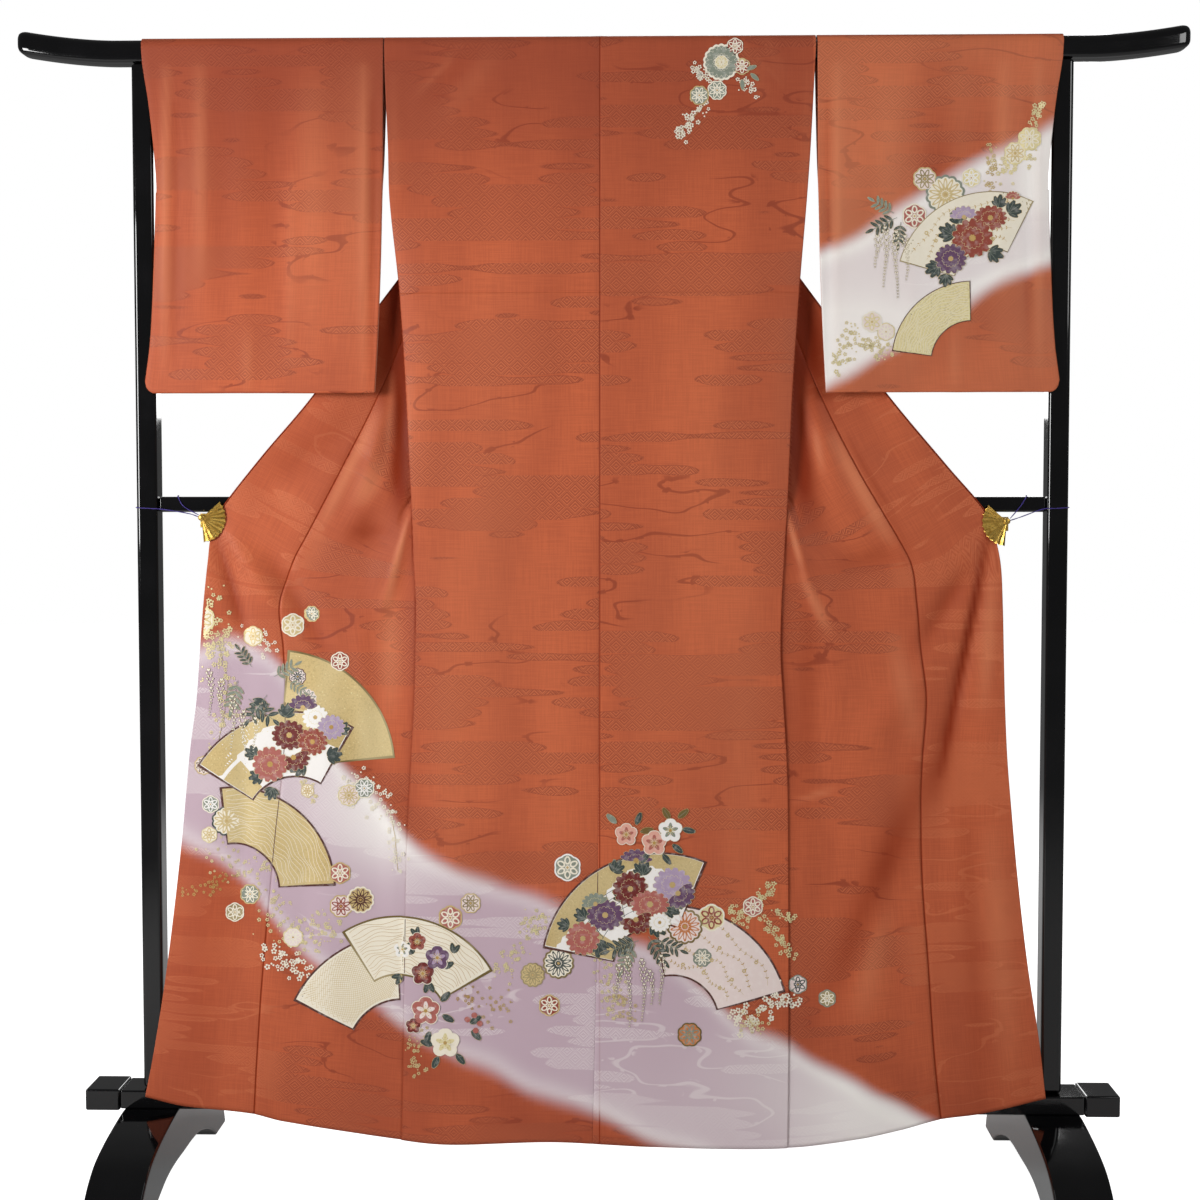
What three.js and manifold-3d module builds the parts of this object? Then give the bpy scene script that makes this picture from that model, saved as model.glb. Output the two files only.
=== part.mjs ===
// Visiting kimono (houmongi) draped over the top rail of a lacquered kimono stand.
//
// Millimetres, +Z up. The stand is 1660 mm long along X. The back of the garment faces -Y, the floor
// is Z = 0 and the origin is on the floor under the middle of the stand. "Depth" below is the distance
// towards the side that the back of the garment faces, so a point's Y is minus its depth.
//
// The cloth is a set of walls. Each wall is a grid of middle points, thickened along its normals.
// The two body lengths run in one piece from the back hem, over the rail and down to the front hem.
// Behind the back, each front is turned over along a slanting line and opens outwards like a door.

import * as THREE from 'three';
import { mergeVertices } from 'three/addons/utils/BufferGeometryUtils.js';
import Module from 'manifold-3d';

const wasm = await Module();
wasm.setup();

// ---------------------------------------------------------------- driving dimensions

const CLOTH = { wall: 1.5, seamGap: 0.3 };

const STAND = {
  railReach: 830, railHalfDepth: 19, railHalfHeight: 17, railCentreZ: 1638,
  railStraight: 690, railRise: 15, railRisePower: 1.7,
  postX: 651, postWide: 30, postDeep: 36, postChamfer: 5,
  midRailLow: 984, midRailHigh: 1006, midRailDeep: 20, midRailChamfer: 3,
  plankReach: 747, plankDeep: 62, plankLow: 118, plankHigh: 145, plankChamfer: 2,
  capLong: 50, capProud: 2, capChamfer: 3,
  footWide: 80,
};
const SLACK = 0.3; // clearance left where two wooden pieces meet

// Section of the top rail: number of sides, and how square it is below
const RAIL_SECTION = { sides: 16, roundnessBelow: 5 };
// Distance along the top rail from the middle, and the section's share of its full size there
const RAIL_STATIONS = [
  { x: 690, share: 1 }, { x: 720, share: 1 }, { x: 750, share: 1 }, { x: 780, share: 1 }, { x: 805, share: 1 },
  { x: 822, share: 0.97 }, { x: 828, share: 0.86 }, { x: 830, share: 0.7 },
];

// Outline of a foot: distance from the post and height, over its back and under its arch
const FOOT_BACK = [
  [40, 117.7], [98, 110], [140, 102], [178, 91], [205, 76], [226, 58], [244, 37], [256, 18], [262, 0],
];
const FOOT_ARCH = [[200, 0], [184, 10], [162, 21], [137, 30], [95, 41], [50, 45]];

// Path of the cloth over the rail: a quarter round on each side of the rail's top
const DRAPE = { halfDepth: 20.4, height: 18.6, roundness: 2.6, quarter: 30 };

// Neck opening, measured on the unrolled cloth: an oval slit on the far side of the rail
const NECK = {
  halfWidth: 88, startS: -1, endS: 68, bandInner: 33, bandRise: 16, lift: 0.4,
  crown: 8, crownWidth: 45, crownReach: 34, steps: 14,
};

// The slanting turn-over of each front
const TURN = {
  radius: 3.5, topZ: 1600, topX: 88, endZ: 970, endX: 265, openZ: 955, closedZ: 1040, start: 30, foldsEnd: 60,
};

// The back's own tuck, and how quickly the back's edge swings in to the side seam
const TUCK = { z: 1294, step: 1.6, fade: 70 };
const EDGE = { backSwing: 26, frontSwing: 32, seamTop: 1290, armhole: 1440 };

const COLLAR = {
  width: 68, neckWidth: 55, rollRadius: 1.9, rollZ: 1550, slideZ: 1575, neckGap: 1.5, edgeGap: 0.8,
  lead: [0, 3, 6, 9, 12], middle: 0.6,
};
const OVERLAP_TOP = 1420;

// Height, then distance of the side seam, front seam and outer edge from the middle of the stand
const LEFT_CUT = [
  { z: 75, side: 286, seam: 500, edge: 658 },
  { z: 160, side: 284, seam: 496, edge: 645 },
  { z: 300, side: 281, seam: 487, edge: 626 },
  { z: 500, side: 277, seam: 469, edge: 603 },
  { z: 640, side: 270, seam: 454, edge: 590 },
  { z: 715, side: 266, seam: 452, edge: 580 },
  { z: 790, side: 264, seam: 455, edge: 574 },
  { z: 853, side: 263, seam: 460, edge: 569 },
  { z: 914, side: 266, seam: 440, edge: 563 },
  { z: 950, side: 267, seam: 421, edge: 559 },
  { z: 980, side: 268, seam: 405, edge: 547 },
  { z: 1061, side: 272, seam: 363, edge: 485 },
  { z: 1149, side: 276, seam: 319, edge: 411 },
  { z: 1290, side: 285, seam: 259, edge: 308 },
  { z: 1425, side: 298, seam: 201, edge: 206 },
  { z: 1500, side: 300, seam: 151, edge: 153 },
  { z: 1600, side: 304, seam: 87, edge: 88 },
  { z: 1660, side: 305, seam: 87, edge: 88 },
];
const RIGHT_CUT = [
  { z: 75, side: 270, seam: 490, edge: 639 },
  { z: 182, side: 271, seam: 480, edge: 629 },
  { z: 320, side: 271, seam: 471, edge: 611 },
  { z: 462, side: 270, seam: 461, edge: 596 },
  { z: 572, side: 269, seam: 459, edge: 586 },
  { z: 633, side: 267, seam: 461, edge: 581 },
  { z: 714, side: 262, seam: 466, edge: 577 },
  { z: 780, side: 258, seam: 459, edge: 575 },
  { z: 853, side: 259, seam: 452, edge: 573 },
  { z: 910, side: 262, seam: 444, edge: 570 },
  { z: 950, side: 264, seam: 423, edge: 562 },
  { z: 980, side: 266, seam: 405, edge: 550 },
  { z: 1049, side: 269, seam: 365, edge: 492 },
  { z: 1149, side: 273, seam: 315, edge: 409 },
  { z: 1290, side: 282, seam: 257, edge: 303 },
  { z: 1425, side: 292, seam: 201, edge: 206 },
  { z: 1500, side: 297, seam: 151, edge: 153 },
  { z: 1600, side: 302, seam: 87, edge: 88 },
  { z: 1660, side: 305, seam: 87, edge: 88 },
];

// Middle of the back, which sways a little towards the left at the hem
const CENTRE_LINE = [{ z: 75, x: -10 }, { z: 430, x: -3 }, { z: 860, x: -1 }, { z: 1660, x: 0 }];

// Depth of the back, of the opened fronts and of the side seam between them
const HANG = [
  { z: 75, back: 43, front: 38, side: 39.5 },
  { z: 150, back: 42.5, front: 36, side: 38.5 },
  { z: 560, back: 36, front: 28, side: 33 },
  { z: 853, back: 31, front: 21, side: 28 },
  { z: 970, back: 29, front: 17.5, side: 26.5 },
  { z: 1012, back: 28.5, front: 16, side: 25.5 },
  { z: 1290, back: 25, front: -3.3, side: 15 },
  { z: 1440, back: 23, front: -13.7, side: 7 },
  { z: 1638, back: 20.4, front: -27.4, side: 0 },
];

// Lift of the hem: the corners hang from the clips and ride higher than the middle
const HEM = [
  { x: -660, z: 139 }, { x: -605, z: 126 }, { x: -503, z: 115 }, { x: -458, z: 104 }, { x: -288, z: 79 },
  { x: -214, z: 73 }, { x: -68, z: 78 }, { x: 79, z: 72 }, { x: 270, z: 71 }, { x: 372, z: 84 },
  { x: 434, z: 98 }, { x: 489, z: 114 }, { x: 545, z: 122 }, { x: 640, z: 145 },
];
const HEM_LINE = { z: 75, fadeTop: 700 };

// Large folds of the fronts: a line from (x0, z0) to (x1, z1), its half width and its height
const LEFT_FOLDS = [
  { x0: 545, z0: 955, x1: 452, z1: 790, half: 17, rise: -6 },
  { x0: 560, z0: 930, x1: 500, z1: 640, half: 24, rise: 4 },
  { x0: 272, z0: 985, x1: 322, z1: 820, half: 20, rise: 6 },
  { x0: 330, z0: 960, x1: 300, z1: 500, half: 30, rise: -4 },
  { x0: 380, z0: 700, x1: 400, z1: 90, half: 45, rise: 4 },
  { x0: 560, z0: 560, x1: 585, z1: 90, half: 36, rise: 4 },
];
const RIGHT_FOLDS = [
  { x0: 552, z0: 940, x1: 466, z1: 590, half: 20, rise: -7 },
  { x0: 562, z0: 900, x1: 520, z1: 520, half: 26, rise: 4 },
  { x0: 270, z0: 990, x1: 318, z1: 800, half: 20, rise: 6 },
  { x0: 335, z0: 930, x1: 300, z1: 560, half: 28, rise: -4 },
  { x0: 372, z0: 700, x1: 380, z1: 90, half: 45, rise: 4 },
  { x0: 545, z0: 520, x1: 560, z1: 90, half: 34, rise: 4 },
];

// Share of a half wave over which a fold rises and dies away
const FOLD_TAPER = { start: 0.15, span: 0.8 };

// Sleeves: height, then distance of the inner edge, outer edge and far layer's outer edge, and depths
const SLEEVE = [
  { z: 1153, inner: 320, outer: 648, farOuter: 648, near: 27.5, far: 22.5 },
  { z: 1240, inner: 315, outer: 639, farOuter: 639, near: 26.5, far: 21.8 },
  { z: 1330, inner: 311, outer: 634, farOuter: 634, near: 25.2, far: 21.2 },
  { z: 1437, inner: 308, outer: 630, farOuter: 630, near: 23.8, far: 19.8 },
  { z: 1480, inner: 307, outer: 632, farOuter: 632, near: 23.2, far: 9 },
  { z: 1560, inner: 306.5, outer: 640, farOuter: 634, near: 22, far: -10 },
  { z: 1620, inner: 306, outer: 649, farOuter: 634, near: 20.8, far: -19.6 },
  { z: 1638, inner: 306, outer: 650, farOuter: 640, near: 20.4, far: -20.4 },
  { z: 1660, inner: 306, outer: 651, farOuter: 648, near: 20.4, far: -20.4 },
];
const SLEEVE_FORM = { bottom: 1153, bottomRise: 3, cuffEnd: 1437, corner: 14, cornerFade: 60 };
const SLEEVE_WAVE = { height: 1.2, turns: 9, phase: 1.3, flatAbove: 1600, fade: 300 };

// Clip: a pleated fan in front of the cloth, a jaw behind it and a barrel at the pivot
const CLIP = {
  left: { x: -571, z: 976 }, right: { x: 578, z: 971 },
  fanInner: 3, fanMiddle: 20, fanOuter: 35, ribs: 10, pleat: 1.1, wall: 0.9, startDeg: -86, endDeg: 41,
  fanDepth: 20.4, jawDepth: 11.4, jawWall: 1.2, jawLong: 46, jawHigh: 20, jawDrop: 4,
  jawBehind: 4, barrelRadius: 4.5, barrelProud: 2, barrelSides: 16,
};
// Cord: its own size, and how far its middle stays from the wood and from the clip's barrel
const CORD = { radius: 0.8, sides: 8, steps: 40, offWood: 1.4, offRail: 1.3, offBarrel: 0.4 };

// ---------------------------------------------------------------- tables and small functions

/** Smooth value of one column of a table at key value k (cubic through the rows). */
function along(table, key, column, k) {
  const last = table.length - 1;
  if (k <= table[0][key]) return table[0][column];
  if (k >= table[last][key]) return table[last][column];
  let i = 0;
  while (k > table[i + 1][key]) i += 1;
  const slope = (a, b) => (table[b][column] - table[a][column]) / (table[b][key] - table[a][key]);
  const span = table[i + 1][key] - table[i][key];
  const m0 = slope(Math.max(i - 1, 0), i + 1) * span;
  const m1 = slope(i, Math.min(i + 2, last)) * span;
  const t = (k - table[i][key]) / span;
  const a = table[i][column];
  const b = table[i + 1][column];
  return (2 * t ** 3 - 3 * t ** 2 + 1) * a + (t ** 3 - 2 * t ** 2 + t) * m0
    + (3 * t ** 2 - 2 * t ** 3) * b + (t ** 3 - t ** 2) * m1;
}

const lerp = THREE.MathUtils.lerp;
const clamp = THREE.MathUtils.clamp;
const smooth = (value, low, high) => THREE.MathUtils.smoothstep(value, low, high);
const steps = (count) => Array.from({ length: count + 1 }, (_, i) => i / count);
const signedPower = (value, power) => Math.sign(value) * Math.abs(value) ** power;
const place = (x, depth, z) => new THREE.Vector3(x, -depth, z);

/** Height of a set of tapering folds at (x, z). */
function foldRise(folds, x, z) {
  let rise = 0;
  for (const fold of folds) {
    const dx = fold.x1 - fold.x0;
    const dz = fold.z1 - fold.z0;
    const t = ((x - fold.x0) * dx + (z - fold.z0) * dz) / (dx * dx + dz * dz);
    const along01 = clamp(t, 0, 1);
    const miss = Math.hypot(x - fold.x0 - dx * along01, z - fold.z0 - dz * along01);
    const taper = Math.sin(Math.PI * clamp(along01 * FOLD_TAPER.span + FOLD_TAPER.start, 0, 1));
    rise += fold.rise * taper * Math.exp(-((miss / fold.half) ** 2));
  }
  return rise;
}

/** Lift of a point of the cloth so that the bottom row follows the hem. */
function hemLift(x, z) {
  const fade = clamp((HEM_LINE.fadeTop - z) / (HEM_LINE.fadeTop - HEM_LINE.z), 0, 1) ** 2;
  return (along(HEM, 'x', 'z', x) - HEM_LINE.z) * fade;
}

// ---------------------------------------------------------------- solids from grids

/** Closed geometry from points and triangles, with its faces turned outwards. */
function closedGeometry(points, triangles) {
  let volume = 0;
  const cross = new THREE.Vector3();
  for (const [a, b, c] of triangles) volume += points[a].dot(cross.crossVectors(points[b], points[c]));
  const index = triangles.flatMap(([a, b, c]) => (volume > 0 ? [a, b, c] : [a, c, b]));
  const geometry = new THREE.BufferGeometry();
  geometry.setAttribute('position', new THREE.Float32BufferAttribute(points.flatMap((p) => p.toArray()), 3));
  geometry.setIndex(index);
  return geometry;
}

/** Unit normals of a grid of points, from its neighbours; a ring closes on itself along the rows. */
function gridNormals(rows, ring) {
  const count = rows.length;
  return rows.map((row, i) => row.map((_, j) => {
    const before = ring ? rows[(i + count - 1) % count] : rows[Math.max(i - 1, 0)];
    const after = ring ? rows[(i + 1) % count] : rows[Math.min(i + 1, count - 1)];
    const down = new THREE.Vector3().subVectors(after[j], before[j]);
    const [inner, outer] = [row[Math.max(j - 1, 0)], row[Math.min(j + 1, row.length - 1)]];
    const across = new THREE.Vector3().subVectors(outer, inner);
    return down.cross(across).normalize();
  }));
}

/** Wall of even thickness about a grid of middle points (rows of equal length). */
function sheet(rows, thickness, ring = false) {
  const normals = gridNormals(rows, ring);
  const width = rows[0].length;
  const points = [];
  for (const side of [1, -1]) {
    rows.forEach((row, i) => row.forEach((p, j) => {
      points.push(p.clone().addScaledVector(normals[i][j], side * thickness / 2));
    }));
  }
  const under = rows.length * width;
  const at = (i, j) => (i % rows.length) * width + j;
  const triangles = [];
  const quad = (a, b, c, d) => triangles.push([a, b, c], [a, c, d]);
  const rowSteps = ring ? rows.length : rows.length - 1;
  for (let i = 0; i < rowSteps; i += 1) {
    for (let j = 0; j < width - 1; j += 1) {
      quad(at(i, j), at(i, j + 1), at(i + 1, j + 1), at(i + 1, j));
      quad(under + at(i, j), under + at(i + 1, j), under + at(i + 1, j + 1), under + at(i, j + 1));
    }
    quad(at(i, 0), at(i + 1, 0), under + at(i + 1, 0), under + at(i, 0));
    const e = width - 1;
    quad(at(i, e), under + at(i, e), under + at(i + 1, e), at(i + 1, e));
  }
  if (!ring) {
    const l = rows.length - 1;
    for (let j = 0; j < width - 1; j += 1) {
      quad(at(0, j), under + at(0, j), under + at(0, j + 1), at(0, j + 1));
      quad(at(l, j), at(l, j + 1), under + at(l, j + 1), under + at(l, j));
    }
  }
  return closedGeometry(points, triangles);
}

/** Solid through a row of closed sections with flat ends. */
function loft(sections) {
  const sides = sections[0].length;
  const points = sections.flat();
  const triangles = [];
  for (let i = 0; i < sections.length - 1; i += 1) {
    for (let j = 0; j < sides; j += 1) {
      const k = (j + 1) % sides;
      const [a, b, c, d] = [i * sides + j, i * sides + k, (i + 1) * sides + k, (i + 1) * sides + j];
      triangles.push([a, b, c], [a, c, d]);
    }
  }
  const last = (sections.length - 1) * sides;
  for (let j = 1; j < sides - 1; j += 1) {
    triangles.push([0, j + 1, j], [last, last + j, last + j + 1]);
  }
  return closedGeometry(points, triangles);
}

/** Manifold of a geometry, with its doubled points merged. */
function toManifold(geometry) {
  const bare = geometry.clone();
  bare.deleteAttribute('normal');
  bare.deleteAttribute('uv');
  const merged = mergeVertices(bare, 1e-4);
  return new wasm.Manifold(new wasm.Mesh({
    numProp: 3,
    vertProperties: new Float32Array(merged.attributes.position.array),
    triVerts: new Uint32Array(merged.index.array),
  }));
}

/** Geometry of a manifold. */
function fromManifold(solid) {
  const mesh = solid.getMesh();
  const geometry = new THREE.BufferGeometry();
  geometry.setAttribute('position', new THREE.Float32BufferAttribute(mesh.vertProperties, 3));
  geometry.setIndex(new THREE.Uint32BufferAttribute(mesh.triVerts, 1));
  return geometry;
}

/** One geometry that joins several overlapping ones. */
const joined = (geometries) => fromManifold(geometries.map(toManifold).reduce((a, b) => a.add(b)));

// ---------------------------------------------------------------- form of the garment

const SIDES = {
  left: { sign: -1, cut: LEFT_CUT, folds: LEFT_FOLDS, clip: CLIP.left },
  right: { sign: 1, cut: RIGHT_CUT, folds: RIGHT_FOLDS, clip: CLIP.right },
};
const hang = (column, z) => along(HANG, 'z', column, z);
const cutAt = (side, column, z) => along(side.cut, 'z', column, z);

/** Point of the drape over the rail; s runs over the rail's top, from the back (-) to the far side (+). */
function overRail(s, lift = 0) {
  const angle = (s / DRAPE.quarter) * (Math.PI / 2);
  const power = 2 / DRAPE.roundness;
  return {
    depth: -(DRAPE.halfDepth + lift) * signedPower(Math.sin(angle), power),
    z: STAND.railCentreZ + (DRAPE.height + lift) * signedPower(Math.cos(angle), power),
  };
}

/** Depth of the back panel, with its tuck and with its edge swung in to the side seam. */
function backDepth(side, x, z) {
  const depth = hang('back', z);
  const sewn = 1 - smooth(z, EDGE.seamTop, EDGE.armhole);
  const reach = Math.exp(-Math.max(cutAt(side, 'side', z) - x, 0) / EDGE.backSwing);
  const edge = hang('side', z) + CLOTH.wall / 2 + CLOTH.seamGap - depth;
  const below = TUCK.z - z;
  const tuck = below > 0 ? TUCK.step * Math.exp(-below / TUCK.fade) : 0;
  return depth + edge * reach * sewn + tuck;
}

/** Depth of an opened front at a distance x from the middle. */
function frontDepth(side, x, z) {
  const depth = hang('front', z);
  const open = 1 - smooth(z, TURN.openZ, TURN.closedZ);
  const reach = Math.exp(-Math.max(x - cutAt(side, 'side', z), 0) / EDGE.frontSwing);
  const edge = hang('side', z) - CLOTH.wall / 2 - CLOTH.seamGap - depth;
  const quiet = 1 - smooth(z, TURN.closedZ, TURN.closedZ + TURN.foldsEnd);
  return depth + edge * reach * open + foldRise(side.folds, x, z) * quiet;
}

/** Distance from the middle of the line along which a front is turned over. */
function turnX(z) {
  return lerp(TURN.endX, TURN.topX, clamp((z - TURN.endZ) / (TURN.topZ - TURN.endZ), 0, 1));
}

// Steps across a body length: under the back, round the turn, and out to the front seam
const ACROSS = { under: 3, turn: 4, out: 5 };
// Least length that each of these keeps
const LEAST_RUN = { under: 2, turn: 6, out: 3 };
// Share of an opened row, and of a row of the back, at which the first two end
const OPEN_SHARE = { under: 0.03, turn: 0.17 };
const BACK_SHARE = { under: 0.12, turn: 0.4 };

/** Columns of a row, as three runs with their own number of steps. */
function columns(first, second, end) {
  const run = (from, to, count) => steps(count).slice(1).map((t) => lerp(from, to, t));
  return [0, ...run(0, first, ACROSS.under), ...run(first, second, ACROSS.turn), ...run(second, end, ACROSS.out)];
}

/** Row of the back, from the side seam in to the centre seam. */
function backRow(side, z) {
  const outer = cutAt(side, 'side', z);
  const inner = side.sign * along(CENTRE_LINE, 'z', 'x', z) + CLOTH.seamGap / 2;
  return columns(BACK_SHARE.under, BACK_SHARE.turn, 1).map((t) => {
    const x = lerp(outer, inner, t);
    const signed = side.sign * x;
    return place(signed, backDepth(side, x, z), z + hemLift(signed, z));
  });
}

/** Row over the rail, from the sleeve seam in to the middle or to the neck opening. */
function railRow(side, s) {
  const outer = cutAt(side, 'side', STAND.railCentreZ);
  const rise = clamp((NECK.endS - s) / (NECK.endS - NECK.startS), -1, 1);
  const inner = s > NECK.startS ? NECK.halfWidth * Math.sqrt(1 - rise * rise) : 0;
  const at = overRail(s);
  return columns(BACK_SHARE.under, BACK_SHARE.turn, 1).map((t) => (
    place(side.sign * lerp(outer, inner + CLOTH.seamGap / 2, t), at.depth, at.z)
  ));
}

/** Row of a front, from the side seam in behind the back, round the turn and out to the front seam. */
function frontRow(side, z) {
  const outer = cutAt(side, 'side', z);
  const end = cutAt(side, 'seam', z) - CLOTH.seamGap;
  const fold = turnX(z);
  const under = Math.max(outer - fold, 0);
  const turn = Math.PI * TURN.radius;
  const turned = clamp((TURN.topZ - z) / TURN.start, 0, 1);
  const total = under + Math.max(turn * turned + end - fold, 0);
  const first = clamp(under, LEAST_RUN.under, total - LEAST_RUN.turn - LEAST_RUN.out);
  const second = clamp(under + turn, first + LEAST_RUN.turn, total - LEAST_RUN.out);
  const closed = smooth(z, TURN.openZ, TURN.closedZ);
  const sewn = 1 - smooth(z, EDGE.seamTop, EDGE.armhole);
  const depthUnder = hang('front', z) + 2 * TURN.radius;
  const edge = hang('side', z) - CLOTH.wall / 2 - CLOTH.seamGap - depthUnder;
  const opened = columns(OPEN_SHARE.under, OPEN_SHARE.turn, 1);
  return columns(first, second, total).map((q, j) => {
    const openX = lerp(outer, end, opened[j]);
    let x = outer - q;
    let depth = depthUnder + edge * sewn * Math.exp(-q / EDGE.backSwing);
    if (q > under + turn) {
      x = fold + q - under - turn;
      depth = frontDepth(side, x, z);
    } else if (q > under) {
      const angle = (q - under) / TURN.radius;
      x = fold - TURN.radius * Math.sin(angle);
      depth = depthUnder - TURN.radius * (1 - Math.cos(angle));
    }
    x = lerp(openX, x, closed);
    depth = lerp(frontDepth(side, openX, z), depth, closed);
    const signed = side.sign * x;
    return place(signed, depth, z + hemLift(signed, z));
  });
}

const BACK_ROWS = [75, 150, 260, 380, 500, 620, 740, 850, 950, 1050, 1150, 1240, 1293, 1295, 1360, 1440, 1540];
const RAIL_ROWS = [-30, -22, -14, -7, -1, 0.5, 3, 8, 15, 22, 30];
// Heights of the fronts' rows: by the rail, down to the clips, and below them
const NECK_ROWS = [1618];
const SLANT_ROWS = [1600, 1590, 1578, 1562, 1540, 1500, 1440, 1420, 1360, 1290, 1220, 1150, 1090, 1050, 1025,
  1005, 982];
const SKIRT_ROWS = [955, 925, 890, 850, 795, 730, 655, 570, 480, 390, 300, 220, 145, 75];
const FRONT_ROWS = [...NECK_ROWS, ...SLANT_ROWS, ...SKIRT_ROWS];

/** One body length: back, shoulder and front in one piece of cloth. */
function bodyLength(side) {
  const rows = [
    ...BACK_ROWS.map((z) => backRow(side, z)),
    ...RAIL_ROWS.map((s) => railRow(side, s)),
    ...FRONT_ROWS.map((z) => frontRow(side, z)),
  ];
  return sheet(rows, CLOTH.wall);
}

/** Overlap strip (okumi) sewn to the edge of a front, from its tip by the neck down to the hem. */
function overlapStrip(side) {
  const rows = FRONT_ROWS.filter((z) => z <= OVERLAP_TOP).map((z) => {
    const inner = cutAt(side, 'seam', z);
    const outer = cutAt(side, 'edge', z);
    return steps(5).map((t) => {
      const x = lerp(inner, outer, t);
      const signed = side.sign * x;
      return place(signed, frontDepth(side, x, z), z + hemLift(signed, z));
    });
  });
  return sheet(rows, CLOTH.wall);
}

/** Distances across the collar band from its outer edge. */
const collarInsets = (width) => [...COLLAR.lead, width * COLLAR.middle, width];

/** Row of the collar band beside a front: it starts at the edge, rolls behind it and lies inwards. */
function collarRow(side, z) {
  const { rollRadius, slideZ, rollZ } = COLLAR;
  const slid = 1 - smooth(z, slideZ, TURN.topZ);
  const rolled = 1 - smooth(z, rollZ, slideZ);
  const edge = cutAt(side, 'edge', z) + COLLAR.edgeGap;
  const width = lerp(COLLAR.neckWidth, COLLAR.width, slid);
  const front = frontDepth(side, edge, z);
  const behind = hang('front', z) - 2 * rollRadius;
  const roll = COLLAR.lead.length - 1;
  const rollLong = COLLAR.lead[roll];
  return collarInsets(width).map((inset, j) => {
    const angle = Math.min(j / roll, 1) * Math.PI;
    const round = rollRadius * Math.sin(angle);
    const back = j > roll ? inset - rollLong : 0;
    const beside = edge + round - back * (width / (width - rollLong));
    const x = lerp(NECK.halfWidth - COLLAR.neckGap - inset, beside, slid);
    const depth = lerp(behind, j > roll ? behind : front - rollRadius * (1 - Math.cos(angle)), rolled);
    return place(side.sign * x, depth, z);
  });
}

/** Row of the collar band round the back of the neck, at an angle round the neck opening. */
function neckRow(angle) {
  const cos = Math.cos(angle);
  const sin = Math.sin(angle);
  const outer = {
    x: (NECK.halfWidth - COLLAR.neckGap) * cos,
    s: NECK.endS - (NECK.endS - NECK.startS) * sin,
  };
  const inner = { x: NECK.bandInner * cos, s: NECK.endS - NECK.bandRise * sin };
  return collarInsets(COLLAR.neckWidth).map((inset) => {
    const t = inset / COLLAR.neckWidth;
    const x = lerp(outer.x, inner.x, t);
    const s = lerp(outer.s + COLLAR.neckGap / 2, inner.s, t);
    const middle = Math.exp(-((x / NECK.crownWidth) ** 2));
    const crown = NECK.crown * middle * Math.sin(Math.PI * clamp((s - NECK.startS) / NECK.crownReach, 0, 1));
    if (s <= DRAPE.quarter) {
      const at = overRail(s, NECK.lift + crown);
      return place(x, at.depth, at.z);
    }
    const drop = s - DRAPE.quarter;
    const hung = hang('front', TURN.topZ) - 2 * COLLAR.rollRadius;
    const share = drop / (NECK.endS - DRAPE.quarter);
    return place(x, lerp(-(DRAPE.halfDepth + NECK.lift + crown), hung, share), STAND.railCentreZ - drop);
  });
}

/** Collar band, in one length from clip to clip round the back of the neck. */
function collarBand() {
  const rows = [
    ...[...SLANT_ROWS].reverse().map((z) => collarRow(SIDES.right, z)),
    ...steps(NECK.steps).slice(1, -1).map((t) => neckRow(t * Math.PI)),
    ...SLANT_ROWS.map((z) => collarRow(SIDES.left, z)),
  ];
  return sheet(rows, CLOTH.wall);
}

// ---------------------------------------------------------------- sleeves

const SLEEVE_HEIGHTS = [1156, 1170, 1200, 1240, 1290, 1340, 1390, 1437, 1480, 1530, 1580, 1620];
const SLEEVE_ARC = [-30, -22, -14, -7, 0, 7, 14, 22, 30];
const SLEEVE_ACROSS = [0, 0.2, 0.4, 0.6, 0.8, 0.955, 0.985, 1];
const sleeveAt = (column, z) => along(SLEEVE, 'z', column, z);

/** Raised height of the sleeve's bottom near its rounded outer corner. */
function cornerLift(share, z) {
  const width = sleeveAt('outer', SLEEVE_FORM.bottom) - sleeveAt('inner', SLEEVE_FORM.bottom);
  const fromEdge = (1 - share) * width;
  const inCorner = clamp(SLEEVE_FORM.corner - fromEdge, 0, SLEEVE_FORM.corner);
  const lift = SLEEVE_FORM.corner - Math.sqrt(SLEEVE_FORM.corner ** 2 - inCorner ** 2);
  return lift * clamp(1 - (z - SLEEVE_FORM.bottom) / SLEEVE_FORM.cornerFade, 0, 1);
}

/** Middle point of a sleeve's near or far layer. */
function sleevePoint(side, share, z, layer) {
  const outer = sleeveAt(layer === 'far' ? 'farOuter' : 'outer', z);
  const x = lerp(sleeveAt('inner', z), outer, share);
  const waveShare = smooth(SLEEVE_WAVE.flatAbove - z, 0, SLEEVE_WAVE.fade);
  const wave = SLEEVE_WAVE.height * Math.sin(share * SLEEVE_WAVE.turns + SLEEVE_WAVE.phase) * waveShare;
  return place(side.sign * x, sleeveAt(layer, z) + wave, z + cornerLift(share, z));
}

/** Points of the sleeve's rounded bottom, from the far layer to the near one. */
function sleeveBottom(side, share) {
  const { bottom } = SLEEVE_FORM;
  const near = sleevePoint(side, share, bottom, 'near');
  const far = sleevePoint(side, share, bottom, 'far');
  const middle = near.clone().add(far).multiplyScalar(0.5);
  const radius = near.distanceTo(far) / 2;
  return [0.25, 0.5, 0.75].map((t) => new THREE.Vector3(
    middle.x,
    middle.y + radius * Math.cos(Math.PI * t),
    middle.z + SLEEVE_FORM.bottomRise - radius * Math.sin(Math.PI * t),
  ));
}

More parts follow.
